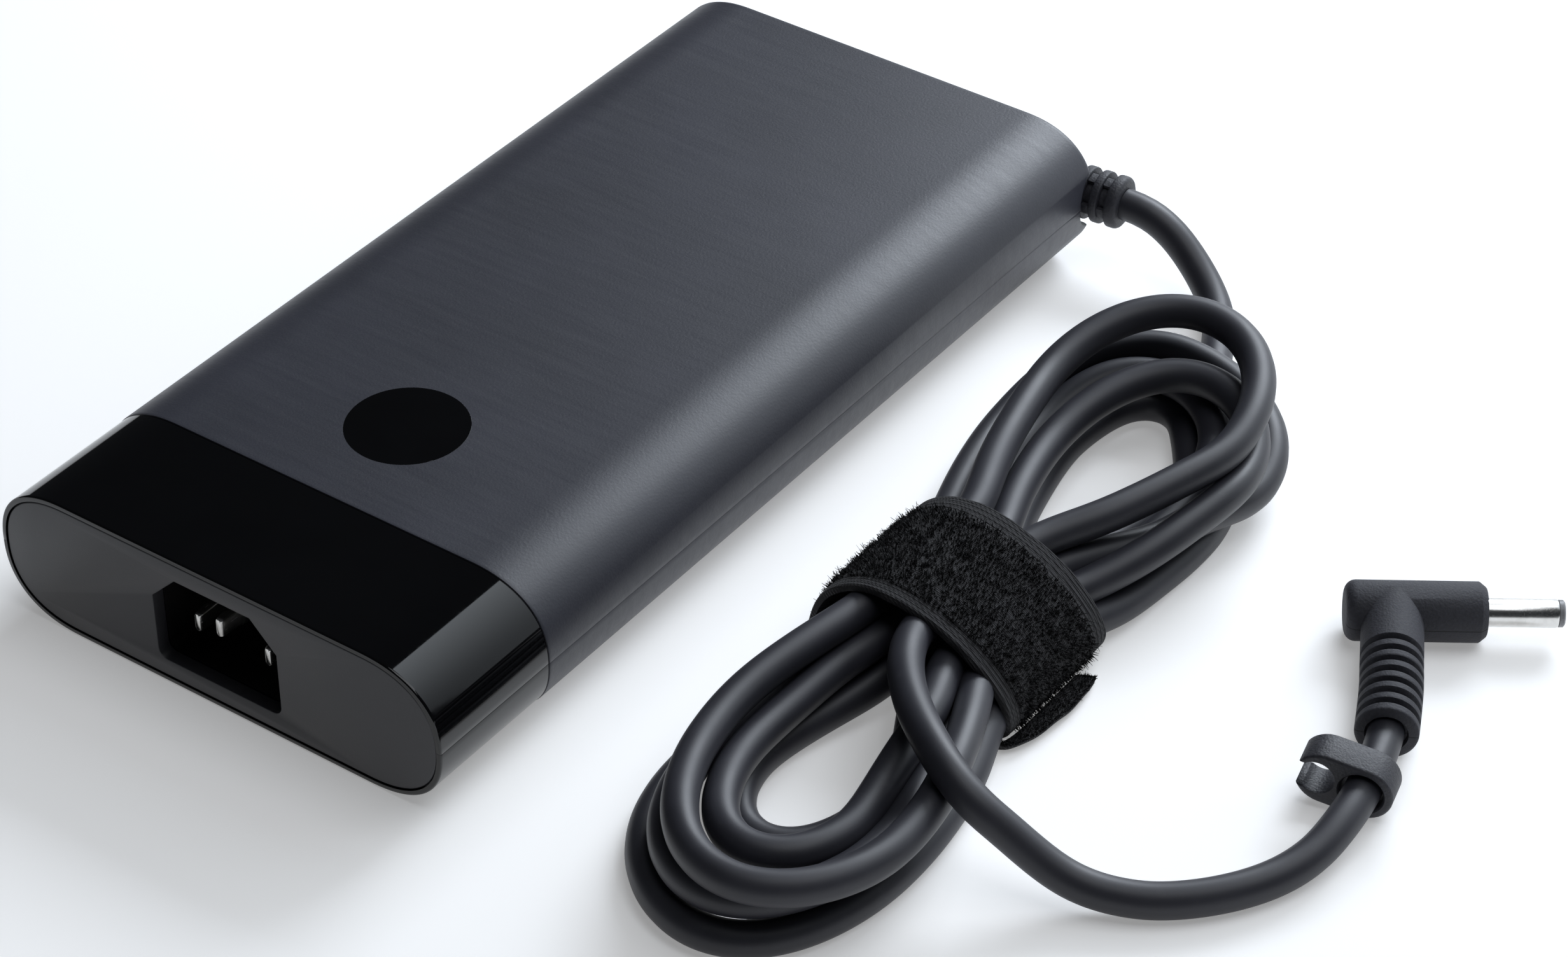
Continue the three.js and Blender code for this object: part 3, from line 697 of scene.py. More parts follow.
# One end of the hank's loops: where the strand crosses the strap's edge on the left and on the
# right (x, z), its widest places (x, y), its turn (x, y), and its heights left, turn and right.
LOWER_LOOPS = (
    ((69.6, 4.6), (67, -61), (89, -88), (105, -61), (98.0, 4.6), (2.8, 2.8, 2.8)),
    ((71.2, 10.0), (70.5, -59), (88.5, -85.5), (103.5, -60), (92.4, 4.8), (8.4, 8.4, 8.2)),
    ((81.2, 4.6), (74.5, -52), (86, -68), (95, -50), (86.6, 4.6), (2.8, 2.8, 2.8)),
    ((77.4, 10.2), (75, -49), (89, -76.5), (99, -60), (91.8, 10.2), (9.0, 10.0, 9.0)),
    ((74.6, 14.2), (71, -51), (92.5, -86.5), (107.5, -65), (96.8, 9.2), (13.5, 14.0, 12.0)),
)
UPPER_LOOPS = (
    ((75.4, 4.6), (66, 39), (75, 57.5), (96.5, 36), (92.4, 4.7), (4.0, 8.4, 5.0)),
    ((69.8, 8.2), (60.5, 38), (79, 62), (104, 41), (90.2, 9.4), (6.0, 10.0, 6.5)),
    ((81.0, 4.6), (69, 38), (77, 56.5), (92.5, 38), (86.8, 4.6), (2.8, 2.8, 2.8)),
    ((80.6, 10.2), (72.5, 30), (86.5, 53.5), (104, 33), (95.4, 8.8), (10.0, 14.0, 12.0)),
    ((76.0, 14.6), (66, 40), (82, 62), (101.5, 35), (87.0, 14.0), (15.5, 19.6, 17.0)),
)
LEAD_IN = (
    (48.6, 90.25, 12.7), (51.2, 90.47, 12.7), (54.0, 90.6, 12.2), (58.2, 90.5, 10.1), (62.2, 89.7, 7.5),
    (66.3, 87.9, 5.2), (70.2, 85, 3.6), (73.4, 81.2, 2.9), (76.2, 76, 2.8), (80.4, 67.6, 2.8),
    (85, 60.5, 2.8), (92.5, 50.5, 2.8), (98.4, 40.5, 2.8), (101, 30, 2.8), (100.4, 16, 3.2),
)
LEAD_OUT = (
    (84.6, -26.6, 14.4), (87.1, -33.2, 14.9), (91.4, -39.3, 16), (97, -45, 16.8), (102.5, -49.2, 16.9),
    (107.9, -52.4, 16.2), (112.6, -53.6, 14.2), (116.8, -52.8, 11.4), (120.9, -52, 8.5),
    (125, -51.1, 5.9), (129.3, -49.9, 4.1), (137.3, -46.1, 2.9), (144.4, -39.8, 2.8),
    (149.5, -32.2, 2.8), (152.2, -24.6, 3.5), (152.65, -17.5, 4.6), (152.2, -12, PLUG_Z),
    (151.5, -8, PLUG_Z), (150.6, -4, PLUG_Z), (149.6, -0.3, PLUG_Z), (148.75, 2.75, PLUG_Z),
    (148.0, 4.4, PLUG_Z),
)
LOOP_TURN_STEPS = 4
FLANK_STEPS = (0.0, 0.35, 0.7)
LEAD_STEP = 4.0

# How far each round of the settling moves a point, as a share of what is asked for.
ROUTE_PULL = 0.09
STIFFNESS = 0.8
LINK_GIVE = 0.25
CONTACT_PUSH = 0.35
SAG = 0.02


def loop_points(loop, edge_y):
    """From the strap's edge on the left, round the turn, to the strap's edge on the right."""
    left_edge, left, turn, right, right_edge, (z_left, z_turn, z_right) = loop

    def flank(edge, wide, z_wide):
        eased = [t * (1.5 - 0.5 * t) for t in FLANK_STEPS]
        return [(edge[0] + (wide[0] - edge[0]) * e, edge_y + (wide[1] - edge_y) * t,
                 edge[1] + (z_wide - edge[1]) * e) for t, e in zip(FLANK_STEPS, eased)]

    def quarter(wide, z_wide):
        angles = [math.pi / 2 * i / LOOP_TURN_STEPS for i in range(LOOP_TURN_STEPS)]
        return [(turn[0] + (wide[0] - turn[0]) * math.cos(a), wide[1] + (turn[1] - wide[1]) * math.sin(a),
                 z_wide + (z_turn - z_wide) * math.sin(a)) for a in angles]

    points = flank(left_edge, left, z_left) + quarter(left, z_left)
    points.append((turn[0], turn[1], z_turn))
    points += quarter(right, z_right)[::-1] + flank(right_edge, right, z_right)[::-1]
    return points


def lead_route():
    points = list(LEAD_IN)
    for lower, upper in zip(LOWER_LOOPS, UPPER_LOOPS):
        points += loop_points(lower, STRAP_FRONT - CLEARANCE)[::-1]
        points += loop_points(upper, STRAP_BACK + CLEARANCE)
    return points + list(LEAD_OUT)


def hold_in_strap(points, inside):
    """Keeps the strands that pass through the strap clear of its inner face."""
    inset = STRAP_THICKNESS + CORD_RADIUS
    arch = np.array(STRAP_ARCH, float)
    middle = np.array((83.0, 8.0))
    for a, b in zip(arch[:-1], arch[1:]):
        along = (b - a) / np.linalg.norm(b - a)
        inward = np.array((along[1], -along[0]))
        if np.dot(middle - a, inward) < 0:
            inward = -inward
        short = np.minimum((points[inside][:, (0, 2)] - a) @ inward - inset, 0)
        points[inside, 0] -= short * inward[0]
        points[inside, 2] -= short * inward[1]
    points[inside, 2] = np.maximum(points[inside, 2], inset)


def settle_lead(points, rounds=320, head=24, tail=50):
    """Lets the lead lie: a sag a round, its own stiffness and length, contact between strands, the
    strap and the floor, and a pull back to the route that keeps the loops where they were wound.
    The first and last points, head and tail of them, stay put."""
    count = len(points)
    guide = points.copy()
    step = np.linalg.norm(points[1] - points[0])
    free = np.ones((count, 1))
    free[:head] = 0
    free[-tail:] = 0
    inside = (points[:, 1] > STRAP_FRONT - 1.3) & (points[:, 1] < STRAP_BACK + 1.3)
    inside &= (points[:, 0] < 104) & (free[:, 0] > 0)
    first, second = np.triu_indices(count, int(math.ceil(2.2 * CORD_DIAMETER / step)))
    for turn in range(rounds):
        if turn % 10 == 0:
            reach = ((points[first] - points[second]) ** 2).sum(1) < (CORD_DIAMETER + 4) ** 2
            i, j = first[reach], second[reach]
        points += free * (guide - points) * ROUTE_PULL
        points[:, 2] -= free[:, 0] * SAG
        bend = np.zeros_like(points)
        near = 4 * points[1:-3] - 6 * points[2:-2] + 4 * points[3:-1]
        bend[2:-2] = (near - points[:-4] - points[4:]) / 16
        points += free * STIFFNESS * bend
        link = points[1:] - points[:-1]
        long = np.linalg.norm(link, axis=1, keepdims=True)
        give = (long - step) / long * link * LINK_GIVE
        shift = np.zeros_like(points)
        shift[:-1] += give
        shift[1:] -= give
        points += free * shift
        for _ in range(3):
            apart = points[i] - points[j]
            gap = np.linalg.norm(apart, axis=1, keepdims=True) + 1e-9
            push = np.where(gap < CORD_DIAMETER, (CORD_DIAMETER - gap) / gap * apart * CONTACT_PUSH, 0)
            shift = np.zeros_like(points)
            touches = np.zeros(count)
            np.add.at(shift, i, push)
            np.add.at(shift, j, -push)
            np.add.at(touches, i, gap[:, 0] < CORD_DIAMETER)
            np.add.at(touches, j, gap[:, 0] < CORD_DIAMETER)
            points += free * shift / np.sqrt(np.maximum(touches, 1))[:, None]
            hold_in_strap(points, inside)
            points[:, 2] = np.maximum(points[:, 2], CORD_RADIUS)
    return points


def make_lead(finishes):
    points = settle_lead(smooth_path(lead_route(), LEAD_STEP))
    curve = bpy.data.curves.new("lead", "CURVE")
    curve.dimensions = "3D"
    curve.bevel_depth = CORD_RADIUS * MM
    curve.bevel_resolution = 8
    curve.use_fill_caps = True
    curve.resolution_u = 4
    spline = curve.splines.new("NURBS")
    spline.points.add(len(points) - 1)
    for knot, p in zip(spline.points, points):
        knot.co = (*(p * MM), 1)
    spline.order_u = 4
    spline.use_endpoint_u = True
    curve.materials.append(finishes["cord_rubber"])
    lead = add("lead", curve)
    length = float(np.linalg.norm(np.diff(points, axis=0), axis=1).sum()) * MM
    return lead, length


# ---------------------------------------------------------------- case

def section(inset, steps=26):
    """Closed ring of the case's section in X and Z."""
    flat = WIDTH / 2 - SIDE_REACH
    ring = []
    for side in (1, -1):
        for i in range(2 * steps + 1):
            a = side * (-math.pi / 2 + math.pi * i / (2 * steps))
            x = side * (flat + (SIDE_REACH - inset) * abs(math.cos(a)) ** (2 / SIDE_POWER))
            lift = abs(math.sin(a)) ** (2 / SIDE_POWER)
            z = MIDDLE_Z + (MIDDLE_Z - inset) * math.copysign(lift, math.sin(a))
            ring.append((x, z))
    return ring


def prism(name, outline, y_stations, material=None, smooth_angle=35):
    """Lofts outline(inset), in X and Z, through (y, inset) stations."""
    rings = [[(x, y, z) for x, z in outline(inset)] for y, inset in y_stations]
    return loft(name, rings, material, smooth_angle=smooth_angle)


def half_section(inset, upper, steps=30):
    """One shell's outer curve from seam to seam, closed along the seam, with small lips there."""
    flat = WIDTH / 2 - SIDE_REACH
    rise = MIDDLE_Z - inset
    start = math.asin(((SEAM_HALF + SEAM_LIP) / rise) ** (SIDE_POWER / 2))
    side = []
    for i in range(steps + 1):
        a = start + (math.pi / 2 - start) * i / steps
        x = flat + (SIDE_REACH - inset) * abs(math.cos(a)) ** (2 / SIDE_POWER)
        side.append((x, rise * math.sin(a) ** (2 / SIDE_POWER)))
    x_seam = side[0][0]
    side = [(x_seam - SEAM_LIP, SEAM_HALF), (x_seam - SEAM_LIP * 0.3, SEAM_HALF + SEAM_LIP * 0.3)] + side
    ring = side + [(-x, h) for x, h in side[::-1]]
    sign = 1 if upper else -1
    return [(x, MIDDLE_Z + sign * h) for x, h in ring]


def plan_prism(name, plan, z0, z1):
    return loft(name, [[(x, y, z0) for x, y in plan], [(x, y, z1) for x, y in plan]])


def notch_cutter():
    """The round channel across the corner, its inner end rounded."""
    profile = [(inset, NOTCH_RADIUS - ahead) for ahead, inset in rounded_steps(0.8, 4)[::-1]]
    profile = [(0, 0.02)] + sorted(profile) + [(WIDTH, NOTCH_RADIUS)]
    return turned("notch", profile, (NOTCH_START, NOTCH_Y, MIDDLE_Z), (1, 0, 0), 72)


def make_shell(name, upper, material):
    edge = rounded_steps(SHELL_FRONT_ROUND, 3)
    stations = [(-END + ahead, GLOSS_STEP + inset) for inset, ahead in edge]
    # A station just past each rounding keeps the long faces' shading straight.
    stations.append((-END + 0.5, GLOSS_STEP))
    stations += [(GLOSS_EDGE_Y + ahead, inset) for ahead, inset in GLOSS_GROOVE]
    stations.append((END - 1.3, 0))
    far = rounded_steps(SHELL_BACK_ROUND, 5)
    stations += [(END - ahead, inset) for inset, ahead in far[::-1]]
    shell = prism(name, lambda inset: half_section(inset, upper), stations, material)

    step_y = PLATE_FRONT + PLATE_THICKNESS + CLEARANCE
    hollow = [(-END - 5, RIM), (step_y, RIM), (step_y + 0.01, WALL), (END - WALL, WALL)]
    cavity = prism("cavity", section, hollow)
    corner_front = NOTCH_FRONT - NOTCH_WALL
    corner_plan = [(60, corner_front), (30.2, corner_front), (23.6, END + 2), (60, END + 2)]
    reach = NOTCH_RADIUS + NOTCH_WALL
    corner = plan_prism("corner", corner_plan, MIDDLE_Z - reach, MIDDLE_Z + reach)
    boolean(cavity, corner)
    boolean(shell, cavity)
    boolean(shell, notch_cutter())
    neck_hole = RELIEF_NECK + CLEARANCE + 0.1
    neck = loft("neck", tube_rings(smooth_path(RELIEF_PATH, 1.0), lambda s, a: neck_hole, 32))
    boolean(shell, neck)

    def notch_mouth(p):
        return p.x > NOTCH_START + 1 and p.y > NOTCH_FRONT - 1 and abs(p.z - MIDDLE_Z) < NOTCH_RADIUS + 0.5

    bevel(shell, 0.3, 42, 2, notch_mouth)
    node = "top_shell" if upper else "bottom_shell"
    return register(shell, "case", "shell_plastic", node)


def make_disc(material):
    """The plain polished disc let into the lid."""
    top = HEIGHT + 0.04
    outer = DISC_RADIUS + 0.02
    profile = [(0, 0.01), (0, DISC_RADIUS), (-0.02, outer), (-0.3, outer), (-0.3, 0.01)]
    rings = [[(x, y, top + drop) for x, y in circle_points(*DISC_CENTRE, radius, 96)]
             for drop, radius in profile]
    disc = loft("lid_disc", rings, material)
    return register(disc, "case", "shell_plastic")


def inlet_outline(grow=0.0, corner_steps=5):
    """The C14 opening in X and Z, as a closed ring from the lower left round to the upper left."""
    w = INLET_WIDTH / 2 + grow
    h = INLET_HEIGHT / 2 + grow
    c = INLET_CHAMFER + grow * 0.4
    r = max(INLET_CORNER + grow, 0.4)
    soft = 0.5
    ring = []
    for cx, start in ((-w + r, math.pi), (w - r, 1.5 * math.pi)):
        for i in range(corner_steps + 1):
            a = start + math.pi / 2 * i / corner_steps
            ring.append((cx + r * math.cos(a), MIDDLE_Z - h + r + r * math.sin(a)))
    for sign in (1, -1):
        corner = [(w, h - c - soft), (w, h - c), (w - soft * 0.7, h - c + soft * 0.7),
                  (w - c + soft * 0.7, h - soft * 0.7), (w - c, h), (w - c - soft, h)]
        corner = corner if sign > 0 else corner[::-1]
        ring += [(sign * x, MIDDLE_Z + z) for x, z in corner]
    return ring


def make_end_plate(material):
    edge = rounded_steps(PLATE_ROUND, 3)
    base = RIM + CLEARANCE * 0.5
    stations = [(PLATE_FRONT + ahead, base + inset) for inset, ahead in edge]
    stations.append((PLATE_FRONT + PLATE_THICKNESS, base))
    plate = prism("inlet_end_plate", section, stations, material)
    lead_in = 0.25
    cut = [(PLATE_FRONT - 1, lead_in + 1), (PLATE_FRONT, lead_in),
           (PLATE_FRONT + lead_in * 0.4, lead_in * 0.25), (PLATE_FRONT + lead_in, 0),
           (PLATE_FRONT + PLATE_THICKNESS + 1, 0)]
    boolean(plate, prism("opening", inlet_outline, cut))
    shade(plate)
    return register(plate, "case", "plate_plastic", "end_plate")


def pin_section(x, z, width, height, inset, corner=0.35):
    """Ring of a blade pin: a rectangle with rounded corners."""
    w = width / 2 - inset
    h = height / 2 - inset
    r = min(corner, w * 0.9)
    ring = []
    for sx, sz, start in ((1, 1, 0), (-1, 1, 90), (-1, -1, 180), (1, -1, 270)):
        for i in range(4):
            a = math.radians(start + 30 * i)
            ring.append((x + sx * (w - r) + r * math.cos(a), z + sz * (h - r) + r * math.sin(a)))
    return ring


def make_inlet(finishes):
    front = PLATE_FRONT + PLATE_THICKNESS + CLEARANCE
    floor_y = -END + INLET_DEPTH
    back = floor_y + INLET_BASE
    housing = prism("inlet_liner", inlet_outline, [(front, INLET_WALL), (back, INLET_WALL)],
                    finishes["inlet_plastic"])
    recess = [(front - 1, 0), (floor_y - 0.4, -0.15), (floor_y, -0.5)]
    boolean(housing, prism("recess", inlet_outline, recess))
    collar_steps = [(floor_y + 0.5, -1.3), (floor_y - 1.8, -1.2), (floor_y - 2.0, -1.0)]
    hole_steps = [(floor_y - 3, -0.2), (back + 1, -0.2)]
    for _, x, raise_z, _ in PINS:
        z = PIN_ROW_Z + raise_z
        collar = prism("collar", lambda inset: pin_section(x, z, *PIN_SIZE, inset, 0.9), collar_steps)
        boolean(housing, collar, "UNION")
        boolean(housing, prism("hole", lambda inset: pin_section(x, z, *PIN_SIZE, inset), hole_steps))
    shade(housing)
    register(housing, "case", "inlet_plastic", "inlet_housing")

    for name, x, raise_z, tip in PINS:
        z = PIN_ROW_Z + raise_z
        start = -END + tip
        stations = [(start + ahead, inset) for ahead, inset in PIN_TIP] + [(back + 3.2, 0), (back + 4.5, 0.3)]
        pin = prism("blade_" + name, lambda inset: pin_section(x, z, *PIN_SIZE, inset), stations,
                    finishes["nickel"], 50)
        register(pin, "case", "nickel", name)


# ---------------------------------------------------------------- strain relief

def make_relief(material):
    """A bent neck, then a run of three rings joined by ribs with slots between them."""
    tip = np.array(RELIEF_PATH[-1], float)
    arm = tip - np.array(RELIEF_PATH[-2], float)
    arm /= np.linalg.norm(arm)
    skin = RELIEF_RADIUS - 0.55
    profile = [(-9.0, RELIEF_CORE)]
    for start, end in RELIEF_RINGS[::-1]:
        profile.append((-end - 0.02, skin if end != RELIEF_RINGS[-1][1] else RELIEF_CORE))
        for inset, ahead in rounded_steps(0.3, 3):
            profile.append((-end + ahead, RELIEF_RADIUS - inset))
        for inset, ahead in rounded_steps(0.9 if start == 0 else 0.3, 4)[::-1]:
            profile.append((-start - ahead, RELIEF_RADIUS - inset))
        profile.append((-start + 0.02, skin if start else RELIEF_CORE))
    profile.append((0.03, RELIEF_CORE - 0.35))
    relief = turned("lead_strain_relief", profile, tip, arm, 64, material)

    # Four slots round each gap between the rings, with ribs between them.
    side = np.cross(arm, (0, 0, 1))
    up = np.array((0, 0, 1))
    for (_, near), (far, _) in zip(RELIEF_RINGS, RELIEF_RINGS[1:]):
        for quarter in range(4):
            rings = []
            for along in (-far - 0.04, -near + 0.04):
                ring = []
                for radius, order in ((RELIEF_RADIUS + 1, 1), (RELIEF_CORE - 0.05, -1)):
                    angles = [math.radians(2 + 90 * quarter + 62 * k / 8) for k in range(9)][::order]
                    for a in angles:
                        ring.append(tip + arm * along + radius * (math.cos(a) * side + math.sin(a) * up))
                rings.append(ring)
            boolean(relief, loft("slot", rings))
    neck_path = smooth_path(RELIEF_PATH[:4] + ((43.0, 89.76, MIDDLE_Z),), 0.8)
    neck = loft("neck", tube_rings(neck_path, lambda s, a: RELIEF_NECK, 40))
    boolean(relief, neck, "UNION")
    bore_end = tip + arm * 0.5
    bore = turned("bore", [(-2.5, CORD_RADIUS), (0, CORD_RADIUS)], bore_end, arm, 40)
    boolean(relief, bore)
    shade(relief, 40)
    return register(relief, "case", "moulded_rubber", "strain_relief")


# ---------------------------------------------------------------- strap

def strap_path(count=150):
    """Even points round the strap's outer outline, and the inward normal at each, in X and Z."""
    arch = smooth_path([(x, 0, z) for x, z in STRAP_ARCH], 0.5)[:, (0, 2)]
    arch[:, 1] = np.maximum(arch[:, 1], 0)
    loop = np.vstack([arch, arch[:1]])
    far = distances(loop)
    at = np.linspace(0, far[-1], count, endpoint=False)
    points = np.stack([np.interp(at, far, loop[:, k]) for k in range(2)], 1)
    for _ in range(6):
        points = (np.roll(points, 1, 0) + 2 * points + np.roll(points, -1, 0)) / 4
    points[:, 1] = np.maximum(points[:, 1], 0)
    along = np.roll(points, -1, 0) - np.roll(points, 1, 0)
    along /= np.linalg.norm(along, axis=1, keepdims=True)
    inward = np.stack([along[:, 1], -along[:, 0]], 1)
    return points, inward


def band_depth(y, phase):
    """How far the strap's outer face lies under its outline: woven edges low, pile ground between."""
    front = y - STRAP_FRONT
    back = STRAP_BACK - y
    if back < 3.8:
        return 0.62 + 0.1 * math.cos(2 * math.pi * back / 0.95) + 0.25 * max(0, 1 - back / 0.4)
    if front < 2.8:
        return 0.66 + 0.1 * math.cos(2 * math.pi * front / 0.95) + 0.25 * max(0, 1 - front / 0.4)
    return 0.5 + 0.1 * math.sin(1.9 * y + 9 * phase) * math.sin(61 * phase - 0.7 * y)


def wavy(y, phase):
    """Moves y a little, so that the strap's edges aren't straight."""
    wave = 0.18 * math.sin(2 * math.pi * 7 * phase) + 0.1 * math.sin(2 * math.pi * 17 * phase + 1)
    near_edge = max(0, 1 - min(y - STRAP_FRONT, STRAP_BACK - y) / 4)
    return y + wave * near_edge * (1 if y > -13 else -1) * 0.5


def make_strap(finishes, rng):
    points, inward = strap_path()
    count = len(points)
    ys = np.linspace(STRAP_FRONT, STRAP_BACK, 90)

    def band_point(k, y, depth, lowest):
        p = points[k] + inward[k] * depth
        return p[0], wavy(y, k / count), max(p[1], lowest)

    rings = []
    for k in range(count):
        outer = [band_point(k, y, band_depth(y, k / count), 0.05) for y in ys]
        inner = [band_point(k, y, STRAP_THICKNESS - 0.08, STRAP_THICKNESS - 0.1) for y in ys[::-1]]
        rings.append(outer + inner)
    band = loft("strap_band_weave", rings, finishes["strap_cloth"], closed=True, smooth_angle=60)
    register(band, "case", "strap_cloth", "strap_band")

    def spot(position):
        k = position * count
        i, t = int(k) % count, k - int(k)
        j = (i + 1) % count
        p = points[i] * (1 - t) + points[j] * t
        n = inward[i] * (1 - t) + inward[j] * t
        return p, n / np.linalg.norm(n)

    tufts = []
    while len(tufts) < BAND_TUFTS:
        position = rng.random()
        y = rng.uniform(STRAP_FRONT + 2.6, STRAP_BACK - 3.7)  # between the woven edges
        p, n = spot(position)
        if p[1] < 0.9:
            continue
        base = np.array((p[0] + n[0] * 0.55, y, p[1] + n[1] * 0.55))
        tufts.append((base, np.array((-n[0], 0, -n[1]))))
    return band, fibres("strap_pile", tufts, rng, finishes["pile"], "case")


def fibres(name, tufts, rng, material, body, height=(0.45, 1.0), thickness=(0.07, 0.13)):
    """Short curled strands, each standing on its (root, outward direction)."""
    verts, faces = [], []
    for root, out in tufts:
        tall = rng.uniform(*height)
        thick = rng.uniform(*thickness)
        lean = rng.normal(0, 0.55, 3)
        curl = rng.normal(0, 0.5, 3)
        across = np.cross(out, rng.normal(0, 1, 3))
        across /= np.linalg.norm(across) + 1e-9
        other = np.cross(out, across)
        start = len(verts)
        levels = 4
        for level in range(levels):
            t = level / (levels - 1)
            centre = root + tall * (out * t * (1 - 0.25 * t) + lean * t * t * 0.7 + curl * t * (1 - t))
            width = thick * (1 - 0.65 * t)
            for k in range(3):
                a = 2 * math.pi * k / 3
                verts.append(centre + width * (math.cos(a) * across + math.sin(a) * other))
        for level in range(levels - 1):
            for k in range(3):
                a, b = start + 3 * level + k, start + 3 * level + (k + 1) % 3
                faces.append((a, b, b + 3, a + 3))
        top = start + 3 * (levels - 1)
        faces.append((start + 2, start + 1, start))
        faces.append((top, top + 1, top + 2))
    verts = np.array(verts)
    verts[:, 2] = np.maximum(verts[:, 2], 0.05)
    piece = mesh_object(name, verts, faces, material, 180)
    return register(piece, body, "strap_cloth")


# The tab's outline in plan: y, with x at its inner edge under the band and at its outer edge.
TAB_PLAN = (
    (-28.9, 100.2, 100.9), (-28.2, 100.6, 102.4), (-26.6, 101.2, 103.5), (-24.4, 101.5, 104.3),
    (-21, 101.6, 104.9), (-16.5, 101.6, 105.4), (-12.5, 101.6, 105.4), (-9.6, 101.6, 105.1),
    (-8, 101.7, 104.8), (-6.9, 103.6, 104.4),
)


def make_tab(finishes, rng):
    """The strap's free end: a crescent that comes out from under the band, with a pointed corner."""
    plan = smooth_path([(y, inner, outer) for y, inner, outer in TAB_PLAN], 0.5)
    steps_x = 12

    def at(row, v, height):
        y, inner, outer = row
        rise = 0.75 + 0.55 * v * v + 0.12 * math.sin(0.9 * y) * v
        taper = math.sqrt(max(0.0, 1 - max(0.0, (v - 0.8) / 0.2) ** 2)) * 0.7 + 0.3
        return np.array((inner + (outer - inner) * v, y, rise + height * taper))

    rings = []
    for row in plan:
        top = [at(row, k / steps_x, 0.45) for k in range(steps_x + 1)]
        under = [at(row, k / steps_x, -0.45) for k in range(steps_x + 1)][::-1]
        rings.append(top + under)
    tab = loft("strap_tab_weave", rings, finishes["strap_cloth"], smooth_angle=60)
    register(tab, "strap_end", "strap_cloth", "strap_tab")
    tufts = []
    for _ in range(TAB_TUFTS):
        row = plan[int(rng.random() * (len(plan) - 3)) + 1]
        v = rng.random() ** 0.6
        tufts.append((at(row, v * 0.93, 0.3), np.array((0.8 if v > 0.85 else 0.2, 0, 1.0))))
    pile = fibres("strap_tab_pile", tufts, rng, finishes["pile"], "strap_end", (0.3, 0.7), (0.06, 0.11))
    return tab, pile


# ---------------------------------------------------------------- clip and plug

def make_clip(material):
    """A stadium-shaped block with a hole for the lead and an open notch that snaps on a strand."""
    def outline(inset, steps=20):
        r = CLIP_HEIGHT / 2 - inset
        half = CLIP_LENGTH / 2 - CLIP_HEIGHT / 2
        ring = []
        for side in (1, -1):
            for i in range(steps + 1):
                a = -math.pi / 2 + math.pi * i / steps
                ring.append((side * (half + r * math.cos(a)), side * r * math.sin(a)))
        return ring

    half_thick = CLIP_THICKNESS / 2
    edge = rounded_steps(0.5, 4)
    stations = [(-half_thick + ahead, inset) for inset, ahead in edge]
    stations += [(half_thick - ahead, inset) for inset, ahead in edge[::-1]]
    clip = prism("lead_clip", outline, stations, material)
    flare = [(-half_thick - 0.1, 0.45), (-half_thick + 0.15, 0.18), (-half_thick + 0.5, 0),
             (half_thick - 0.5, 0), (half_thick - 0.15, 0.18), (half_thick + 0.1, 0.45)]

    def mouth(grow):
        low, high = CLIP_MOUTH
        return [(-CLIP_LENGTH, low - 1.2 - grow), (CLIP_NOTCH_X, low - grow),
                (CLIP_NOTCH_X, high + grow), (-CLIP_LENGTH, high + grow)]

    def hole(grow):
        return circle_points(CLIP_HOLE_X, 0, CLIP_HOLE_RADIUS + grow, 48)

    def notch(grow):
        return circle_points(CLIP_NOTCH_X, 0, CLIP_NOTCH_RADIUS + grow * 0.3, 48)

    for cut in (hole, notch, mouth):
        boolean(clip, prism(cut.__name__, cut, flare))
    bevel(clip, 0.3, 40, 2, lambda p: p.x < CLIP_NOTCH_X)
    place = Matrix.Translation((CLIP_HOLE[0] * MM, CLIP_HOLE[1] * MM, PLUG_Z * MM))
    turn = Matrix.Rotation(CLIP_TURN, 4, "Z") @ Matrix.Rotation(CLIP_ROLL, 4, "Y")
    clip.data.transform(place @ turn @ Matrix.Translation((-CLIP_HOLE_X * MM, 0, 0)))
    return register(clip, "clip", "moulded_rubber", "cable_clip")


BOOT_GROOVES = 7
BOOT_GROOVE_START = 11.8
BOOT_GROOVE_PITCH = 2.5
BOOT_GROOVE_DEPTH = 1.8
BOOT_GROOVE_HALF = 0.46


def boot_radius(s, a):
    """The boot's radius: grooves across its top and its underside that run out at the sides."""
    radius = BOOT_RADIUS
    for i in range(BOOT_GROOVES):
        off = (s - BOOT_GROOVE_START - i * BOOT_GROOVE_PITCH) / BOOT_GROOVE_HALF
        if abs(off) < 1.6:
            fade = min(1.0, max(0.0, (abs(math.sin(a)) - 0.06) / 0.4))
            radius -= BOOT_GROOVE_DEPTH * fade * math.exp(-off ** 4)
    return radius


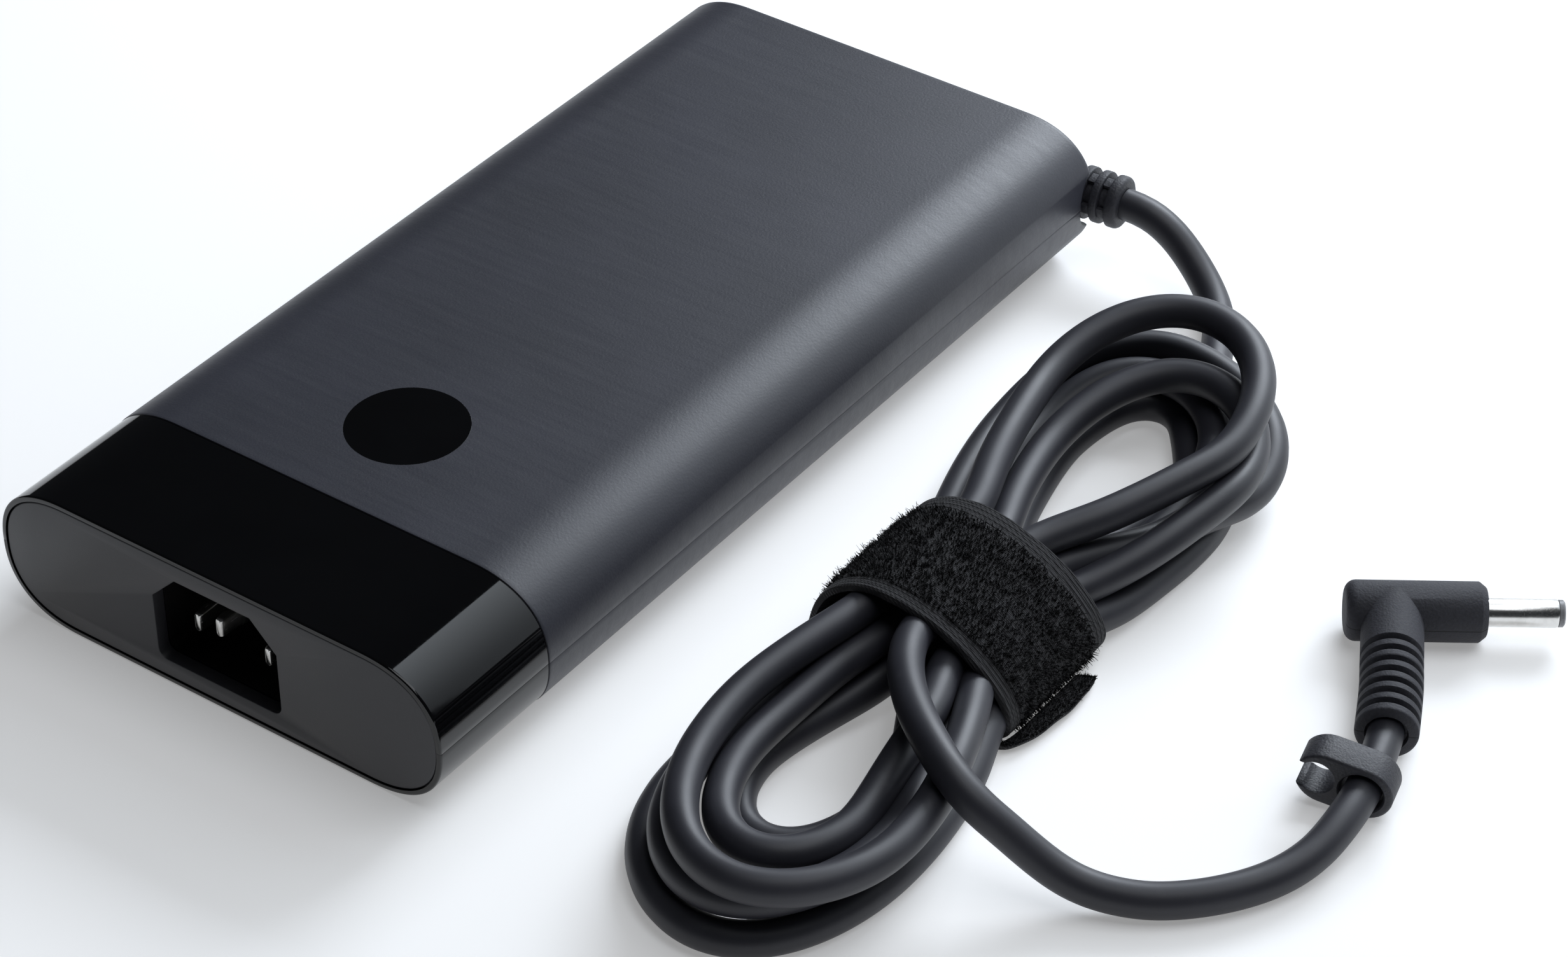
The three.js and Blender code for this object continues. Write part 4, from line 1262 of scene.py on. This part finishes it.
def make_plug(finishes):
    along = np.array((math.cos(PLUG_ANGLE), math.sin(PLUG_ANGLE), 0))
    centre = np.array(BOOT_PATH[0])
    profile = [(-HOUSING_BACK, 0.02)]
    for inset, ahead in rounded_steps(HOUSING_ROUND, 7):
        profile.append((-HOUSING_BACK + ahead, HOUSING_RADIUS - inset))
    profile += [(HOUSING_FRONT - 1.15, HOUSING_RADIUS), (HOUSING_FRONT - 0.95, HOUSING_RADIUS - 0.12),
                (HOUSING_FRONT - 0.12, HOUSING_RADIUS - 0.8), (HOUSING_FRONT, HOUSING_RADIUS - 0.95),
                (HOUSING_FRONT, 0.02)]
    housing = turned("plug_body", profile, centre, along, 72, finishes["plug_rubber"])
    boot_line = smooth_path(BOOT_PATH, 0.16)
    total = float(np.linalg.norm(np.diff(boot_line, axis=0), axis=1).sum())

    def radius_at(s, a):
        past = max(0.0, BOOT_END_ROUND - (total - s))
        fall = BOOT_END_ROUND - math.sqrt(max(BOOT_END_ROUND ** 2 - past ** 2, 0))
        return boot_radius(s, a) - fall

    boot = loft("boot", tube_rings(boot_line, radius_at, 64))
    boolean(housing, boot, "UNION")
    end = np.array(BOOT_PATH[-1])
    back_dir = boot_line[-8] - boot_line[-1]
    back_dir /= np.linalg.norm(back_dir)
    boolean(housing, turned("mouth", [(-1, 3.4), (0, 3.3), (0.8, 3.05), (0.8, 0.02)], end, back_dir, 48))
    socket_start = HOUSING_FRONT - 3
    socket = [(socket_start, BARREL_RADIUS + 0.2), (HOUSING_FRONT + 1, BARREL_RADIUS + 0.2)]
    boolean(housing, turned("socket", socket, centre, along, 48))
    shade(housing, 38)
    register(housing, "case", "moulded_rubber", "plug_housing")

    tip = HOUSING_FRONT + BARREL_LENGTH
    ring_start = tip - 0.9
    start = socket_start + CLEARANCE
    sleeve = [(start, BARREL_BORE), (start, BARREL_RADIUS), (ring_start - 0.35, BARREL_RADIUS),
              (ring_start - 0.1, BARREL_RADIUS - 0.15), (ring_start - 0.1, BARREL_BORE)]
    barrel = turned("plug_sleeve", sleeve, centre, along, 64, finishes["nickel"], closed=True)
    register(barrel, "case", "nickel", "plug_barrel")
    insulator = [(ring_start, BARREL_BORE), (ring_start, BARREL_RADIUS - 0.12),
                 (tip - 0.25, BARREL_RADIUS - 0.12), (tip, BARREL_RADIUS - 0.4), (tip, BARREL_BORE)]
    ring = turned("plug_tip_ring", insulator, centre, along, 64, finishes["insulator_plastic"], closed=True)
    register(ring, "case", "insulator_plastic", "plug_insulator")
    contact = [(start, 0.4), (tip - 2.4, 0.4), (tip - 2.1, 0.3), (tip - 2, 0.12)]
    pin = turned("plug_contact", contact, centre, along, 24, finishes["nickel"])
    register(pin, "case", "nickel", "plug_centre_pin")
    return [housing, barrel, ring, pin]


# ---------------------------------------------------------------- floor and the hidden pieces

def make_floor():
    n = Nodes("studio_floor")
    patches = n.noise(3, 2)
    colour = n.blend(patches, 0.3, 0.7, (0.89, 0.89, 0.89), (0.91, 0.91, 0.91))
    material = n.finish(colour, n.span(patches, 0.3, 0.7, 0.85, 0.95))
    n.shader.inputs["Emission Color"].default_value = (1, 1, 1, 1)
    n.shader.inputs["Emission Strength"].default_value = 0.28
    corners = [(FLOOR_REACH * x, FLOOR_REACH * y, -0.05) for x, y in ((-1, -1), (1, -1), (1, 1), (-1, 1))]
    floor = mesh_object("studio_floor", corners, [(0, 1, 2, 3)], material)


def dress_inner_pieces(finishes):
    """Gives each CAD node that stays the finish of its material slot."""
    for entry in frame["record"]["subparts"]:
        node = frame["nodes"][entry["node"]]
        node.data.materials.clear()
        node.data.materials.append(finishes[entry["material_slot"]])


# ---------------------------------------------------------------- making

rng = np.random.default_rng(SEED)
place_camera()
make_floor()
light_studio()
finishes = make_finishes()
dress_inner_pieces(finishes)

lead, lead_length = make_lead(finishes)
register(lead, "case", "cord_rubber", "cord_lead_in", "cord_hank", "cord_lead_out")
relief = make_relief(finishes["moulded_rubber"])
band, pile = make_strap(finishes, rng)
tab, tab_pile = make_tab(finishes, rng)
clip = make_clip(finishes["moulded_rubber"])
plug = make_plug(finishes)

make_shell("lid_shell", True, finishes["shell_plastic"])
make_shell("base_shell", False, finishes["shell_plastic"])
make_disc(finishes["polished"])
make_end_plate(finishes["plate_plastic"])
make_inlet(finishes)
